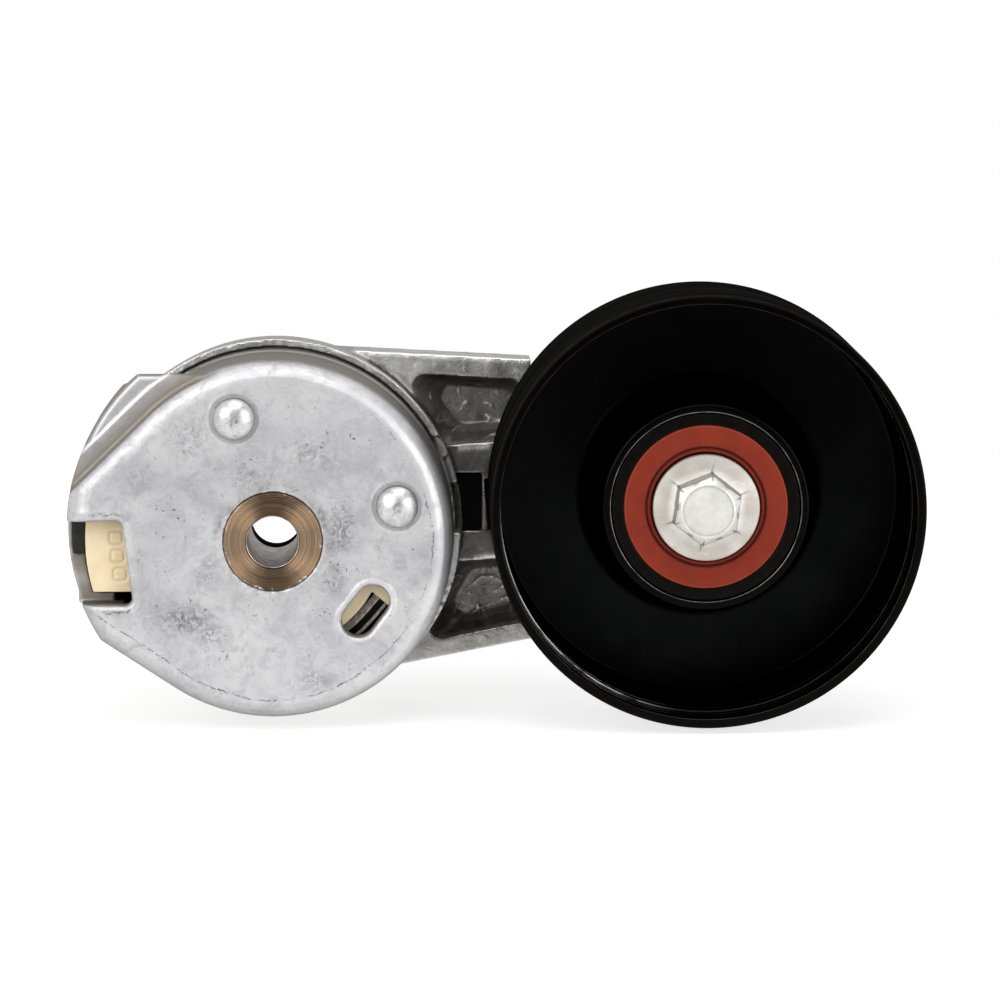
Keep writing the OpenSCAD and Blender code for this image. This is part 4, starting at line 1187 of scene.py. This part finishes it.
class TENSIONER_OT_spring(bpy.types.Operator):
    """Winds the torsion spring, with its straight ends and its squared, ground near end"""

    bl_idname = "tensioner.spring"
    bl_label = "Torsion spring"

    def path(self):
        """Middle of the wire, with its way and its outward direction at each point."""
        reach, wire, near, pitch, turns, start = SPRING
        t = np.arange(turns * 64 + 1) / 64
        a = np.radians(start - 360 * t)
        level = np.zeros(len(a))
        points = np.stack([reach * np.cos(a), near + pitch * t, reach * np.sin(a)], 1)
        outs = np.stack([np.cos(a), level, np.sin(a)], 1)
        ways = np.stack([np.sin(a), level + pitch / (2 * math.pi * reach), -np.cos(a)], 1)
        ways /= np.linalg.norm(ways, axis=1)[:, None]
        first = np.array((math.sin(a[0]), 0, -math.cos(a[0])))
        last = np.array((math.sin(a[-1]), 0, -math.cos(a[-1])))
        run = np.linspace(0.2, 1, 5)[:, None] * 2 * wire
        points = np.concatenate([points[0] - first * run[::-1], points, points[-1] + last * run])
        outs = np.concatenate([np.repeat(outs[:1], 5, 0), outs, np.repeat(outs[-1:], 5, 0)])
        ways = np.concatenate([np.repeat([first], 5, 0), ways, np.repeat([last], 5, 0)])
        return points, ways, outs

    def execute(self, context):
        _, wire, near, pitch, turns, _ = SPRING
        sides = 48
        points, ways, outs = self.path()
        ups = np.cross(ways, outs)
        count = len(points)
        angles = np.arange(sides) * 2 * math.pi / sides
        square = ramp(np.arange(count), 30, 16)[:, None]
        box = 0.93 * (np.abs(np.cos(angles)) ** 6 + np.abs(np.sin(angles)) ** 6) ** (-1 / 6)
        size = square * box + (1 - square)
        side = size * np.cos(angles)
        rise = size * np.sin(angles)
        inner = 0.93 - 0.85 * np.maximum(-0.33 - side, 0)
        rise = np.where((rise > 0.2) * (square > 0.5), np.minimum(rise, inner), rise)
        rise -= 0.10 * square * (side > 0.45) * (rise > 0.5)
        away = side[:, :, None] * outs[:, None, :] + rise[:, :, None] * ups[:, None, :]
        verts = points[:, None, :] + wire * away
        strip = (side < -0.36) * (rise > 0.2)
        # Painted highlight: a thin line along the step on the near face, kept in the ground mark with the
        # ground strip.
        glint = (np.abs(side - 0.45) < 0.09) * (rise > 0.5)
        ground = (strip + glint) * square
        faces = strips(count, sides)
        faces.append(tuple(range(sides)))
        faces.append(tuple(range((count - 1) * sides, count * sides)))
        mesh = new_mesh("spring", verts.reshape(-1, 3), faces, 40)
        paint(mesh, ground=ground.ravel())
        obj = bpy.data.objects.new("spring", mesh)
        context.collection.objects.link(obj)
        mesh.materials.append(finish("spring_steel"))
        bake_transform(obj)
        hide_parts("torsion_spring")
        return {"FINISHED"}


class TENSIONER_OT_arm(bpy.types.Operator):
    """Makes the cast arm, with its soft edges, ragged lip, flow ridges and uneven skin"""

    bl_idname = "tensioner.arm"
    bl_label = "Tensioner arm"

    def execute(self, context):
        mesh = grained("tensioner_arm", sizes().arm_grain, 2)
        p = read_points(mesh)
        x, y, z = p.T
        flat = p[:, ::2]
        reach = np.hypot(x, z)
        along, across = swung(x, z, ARM_ANGLE)
        top = BEAM_TOP[0] + BEAM_TOP[1] * along - across
        bottom = across - BEAM_BOTTOM[0] - BEAM_BOTTOM[1] * along
        inside = np.minimum(top, bottom)
        beam = (reach > CUP_R) * (y < 44.6) * (x > 10)
        hub = np.hypot(x - PULLEY[0], z - PULLEY[1])
        lip = (reach > 38) * (reach < 40.6) * (y < 31)
        y += ramp(np.abs(y - LIP_NEAR), 0.8, 0) * lip * 0.09 * (1 + waves(p, 2.6, 21))
        pocket = beam * ramp(inside, 4.5, 6.5) * ramp(y, 37, 39) * (hub > HUB_FREE)
        broken = ramp(waves(flat, 5, 32), 0.0, 0.3)
        ridge = hill(waves(flat, 6, 31), 0.12) * broken * pocket
        y -= 0.38 * ridge
        y += 0.12 * waves(p, 9, 23) * beam * (hub > HUB_FREE)
        write_points(mesh, p)
        # Painted shade for the finish: deeper down the pockets, over the middle block and in the cup behind
        # the pulley.
        middle = ramp(np.abs(across - 0.7), 13.6, 12.4)
        deep = ramp(y, 36.3, 37.6) * (1 - 0.40 * ramp(y, 40.0, 40.8))
        dark = beam * np.maximum(ramp(inside, 3.4, 4.4) * deep, 0.88 * middle)
        dark = np.maximum(dark, (reach < CUP_R) * (x > 20) * ramp(y, 29.2, 31) * (y < 44.6))
        # Painted reflection: a tan lit patch on the upper pocket's left slope.
        warm = beam * hill(along - 34.5, 2.6) * hill(across - 21.5, 5.5) * ramp(y, 36.6, 38)
        # Painted highlights: edges of the middle block, the beam's top edge, the flow ridges, and the
        # shoulder by the lip.
        block = (along > 40) * (along < 47) * hill(across - 12.6, 0.55) * (y < 36.8)
        block += (along > 42) * (along < 47) * hill(across + 11.4, 0.55) * (y < 36.8)
        block += hill(top - 0.5, 0.5) * (along > 15)
        # Painted light on the shoulder beside the lip, which lies in the case's shade.
        shoulder = beam * ramp(along, 36, 30) * ramp(top, 0.8, 2.0) * ramp(top, 12, 8)
        block += 0.35 * ridge + 0.45 * shoulder
        # The lip's paler metal, and the painted light on the shoulder.
        pale = np.maximum(lip, 0.9 * shoulder)
        paint(mesh, bend=bend_of(mesh), dark=dark, lip=pale, warm=warm, bare=np.minimum(block * beam, 1))
        piece("arm", mesh, "arm", "cast_arm", "cast_arm", "tensioner_arm")
        plug = grained("drive_hole_plug", 0.18 * MM, 3)
        piece("plug", plug, "arm", "black_plastic", "black_plastic", "drive_hole_plug")
        return {"FINISHED"}


class TENSIONER_OT_plate(bpy.types.Operator):
    """Turns the retaining plate that holds the arm on the tube"""

    bl_idname = "tensioner.plate"
    bl_label = "Retaining plate"

    def execute(self, context):
        profile = rounded(
            [
                (8.02, 36.52, 0.1),
                (15.48, 36.52, 0.4),
                (15.48, 38.4, 0.5),
                (13.2, 38.4, 0.5),
                (12.2, 38.98, 0.5),
                (9.2, 38.98, 0.3),
                (8.02, 38.6, 0.2),
            ]
        )
        mesh = new_mesh("plate", *turned(profile))
        paint(mesh, bend=np.zeros(len(mesh.vertices)))
        piece("plate", mesh, "base", "plated_steel", "plated_steel", "retaining_plate")
        return {"FINISHED"}


class TENSIONER_OT_pulley(bpy.types.Operator):
    """Turns the pressed pulley with its rolled rim, ringed inner wall, web and hub"""

    bl_idname = "tensioner.pulley"
    bl_label = "Pulley"

    def execute(self, context):
        near, far = PULLEY_NEAR, PULLEY_FAR
        web = far - 2.0
        profile = rounded(
            [
                (20.01, 5.2, 0.15),
                (22.01, 5.2, 0.9),
                (22.01, web, 5.5),
                (43.4, web, 1.0),
                (43.4, 12.2, 0.2),
                (43.15, 11.6, 0.2),
                (43.4, 11.0, 0.2),
                (43.4, 6.6, 0.2),
                (43.12, 6.0, 0.15),
                (43.12, 4.6, 0.15),
                (43.4, 4.0, 0.2),
                (43.4, near + 0.02, 0.3),
                (45.38, near + 0.02, 0.4),
                (45.38, far, 3.0),
                (20.01, far, 7.5),
            ],
            10,
        )
        mesh = new_mesh("pulley", *turned(profile, PULLEY, 360))
        piece("pulley", mesh, "pulley", "black_paint", "black_coat", "pulley_shell")
        return {"FINISHED"}


class TENSIONER_OT_bearing(bpy.types.Operator):
    """Makes the bearing's outer ring and seals, and finishes its inner pieces"""

    bl_idname = "tensioner.bearing"
    bl_label = "Bearing"

    def execute(self, context):
        near, far = BEARING
        turns = np.linspace(0.35, math.pi - 0.35, 12)
        middle = (near + far) / 2
        groove = [(15.9 + 1.8 * math.sin(t), middle - 2.6 * math.cos(t)) for t in turns]
        profile = rounded(
            [(17.36, near + 1.2, 0.05), (17.36, near + 0.1, 0.15), (17.6, near, 0.2), (19.99, near, 0.6)]
            + [(19.99, far, 0.6), (17.36, far, 0.2), (17.36, far - 1.2, 0.05), (16.3, far - 1.2, 0.1)]
            + [(r, y, 0) for r, y in reversed(groove)]
            + [(16.3, near + 1.2, 0.1)]
        )
        mesh = new_mesh("outer_ring", *turned(profile, PULLEY))
        piece("outer_ring", mesh, "pulley", "dark_ring", "dark_ring", "bearing_outer_ring")
        for name, y, way in (("front", near + 0.3, 1), ("rear", far - 0.3, -1)):
            profile = rounded(
                [
                    (11.55, y + way * 0.25, 0.1),
                    (11.8, y + way * 0.02, 0.15),
                    (12.2, y + way * 0.02, 0.15),
                    (12.42, y + way * 0.40, 0.15),
                    (12.7, y + way * 0.08, 0.15),
                    (16.6, y + way * 0.03, 0.2),
                    (17.05, y + way * 0.03, 0.2),
                    (17.33, y + way * 0.3, 0.1),
                    (17.33, y + way * 0.78, 0.05),
                    (11.55, y + way * 0.78, 0.1),
                ]
            )
            mesh = new_mesh(name + "_seal_ring", *turned(profile, PULLEY))
            piece(name + "_seal_ring", mesh, "pulley", "seal_red", "seal_red", name + "_seal")
        for node, look in (
            ("bearing_inner_ring", "dark_ring"),
            ("bearing_balls", "bearing_steel"),
            ("ball_cage", "cream_plastic"),
            ("rear_pivot_bush", "bush_bronze"),
            ("front_pivot_bush", "bush_bronze"),
            ("rear_thrust_washer", "black_plastic"),
            ("front_thrust_washer", "black_plastic"),
        ):
            dress(node, look)
        return {"FINISHED"}


class TENSIONER_OT_bolt(bpy.types.Operator):
    """Makes the pulley bolt with its flange and chamfered hexagon"""

    bl_idname = "tensioner.bolt"
    bl_label = "Pulley bolt"

    def execute(self, context):
        steps = 240
        seat = BEARING[0]
        top = seat - BOLT_HEAD
        angles = math.radians(BOLT_ANGLE) + np.arange(steps) * 2 * math.pi / steps
        turn = np.abs((np.degrees(angles) - BOLT_ANGLE + 30) % 60 - 30)
        hexagon = np.minimum(BOLT_FLAT / np.cos(np.radians(30 - turn)), BOLT_CORNER)
        corner = hill(turn, 1.6)
        rim = top + 0.30 + (hexagon - 5.9) * 0.55
        outline = (
            (0.01, seat + 31.98),
            (4.1, seat + 31.98),
            (4.94, seat + 31.2),
            (4.94, seat + 0.05),
            (11.0, seat + 0.02),
            (11.28, seat - 0.15),
            (11.28, seat - 0.95),
            (11.15, seat - 1.20),
            (10.7, seat - 1.32),
            (9.6, seat - 1.52 + 0.04 * corner),
            (8.6, seat - 1.72 + 0.12 * corner),
            (hexagon + 0.50, seat - 1.98 + 0.12 * corner),
            (hexagon + 0.16, seat - 2.15),
            (hexagon, seat - 2.5),
            (hexagon, rim + 0.25),
            (hexagon - 0.10, rim),
            (5.85, top + 0.22),
            (5.6, top + 0.03),
            (5.35, top),
            (5.2, top + 0.16),
            (4.6, top + 0.22),
            (2.0, top + 0.22),
            (0.01, top + 0.22),
        )
        rings = []
        for radius, level in outline:
            x, z = PULLEY[0] + radius * np.cos(angles), PULLEY[1] + radius * np.sin(angles)
            rings.append(np.stack(np.broadcast_arrays(x, level, z), 1))
        mesh = new_mesh("bolt", np.concatenate(rings), strips(len(rings), steps), 32)
        p = read_points(mesh)
        x, y, z = p.T
        edge = np.hypot(x - PULLEY[0], z - PULLEY[1])
        # Kept in the bolt's bend mark, which darkens the finish: dark fold lines at the corners, and painted
        # shade in the groove at the hexagon's foot, round the top's ring, over the chamfered top and round
        # the flange's rim.
        groove = -0.9 * hill(y - (seat - 2.16), 0.09) * (edge > 6.3) * (edge < 8.3)
        groove -= 0.4 * hill(edge - 5.2, 0.12) * (y < top + 0.4)
        angle = np.degrees(np.arctan2(z - PULLEY[1], x - PULLEY[0]))
        fold = hill((angle - BOLT_ANGLE + 30) % 60 - 30, 1.6) * ramp(edge, 9.8, 8.2) * (edge > 7.2)
        groove -= (1.1 * fold + 0.45 * hill(edge - 11.2, 0.2)) * (y < seat)
        groove -= 0.42 * (edge > 6.2) * (y < top + 1.6)
        flange = ramp(edge, 7.4, 8.0) * (0.75 + 0.25 * waves(p, 6, 51)) * (y < seat)
        paint(mesh, bend=groove, flange=flange)
        piece("bolt", mesh, "arm", "plated_steel", "plated_steel", "pulley_bolt")
        return {"FINISHED"}


class TENSIONER_PT_panel(bpy.types.Panel):
    """Lists the steps that build the tensioner"""

    bl_idname = "TENSIONER_PT_panel"
    bl_label = "Belt tensioner"
    bl_space_type = "VIEW_3D"
    bl_region_type = "UI"
    bl_category = "Tensioner"

    def draw(self, context):
        for group in (context.scene.tensioner_sizes, context.scene.tensioner_colours):
            for key in group.__annotations__:
                self.layout.prop(group, key)
        for step in STEPS:
            self.layout.operator(step.bl_idname)


STEPS = (
    TENSIONER_OT_stage,
    TENSIONER_OT_case,
    TENSIONER_OT_tube,
    TENSIONER_OT_pins,
    TENSIONER_OT_damper,
    TENSIONER_OT_spring,
    TENSIONER_OT_arm,
    TENSIONER_OT_plate,
    TENSIONER_OT_pulley,
    TENSIONER_OT_bearing,
    TENSIONER_OT_bolt,
)
CLASSES = (TensionerSizes, TensionerColours, *STEPS, TENSIONER_PT_panel)


def register():
    for item in CLASSES:
        bpy.utils.register_class(item)
    bpy.types.Scene.tensioner_sizes = bpy.props.PointerProperty(type=TensionerSizes)
    bpy.types.Scene.tensioner_colours = bpy.props.PointerProperty(type=TensionerColours)


def unregister():
    del bpy.types.Scene.tensioner_sizes
    del bpy.types.Scene.tensioner_colours
    for item in reversed(CLASSES):
        bpy.utils.unregister_class(item)


def main():
    register()
    for step in STEPS:
        group, name = step.bl_idname.split(".")
        getattr(getattr(bpy.ops, group), name)()


if __name__ == "__main__":
    main()
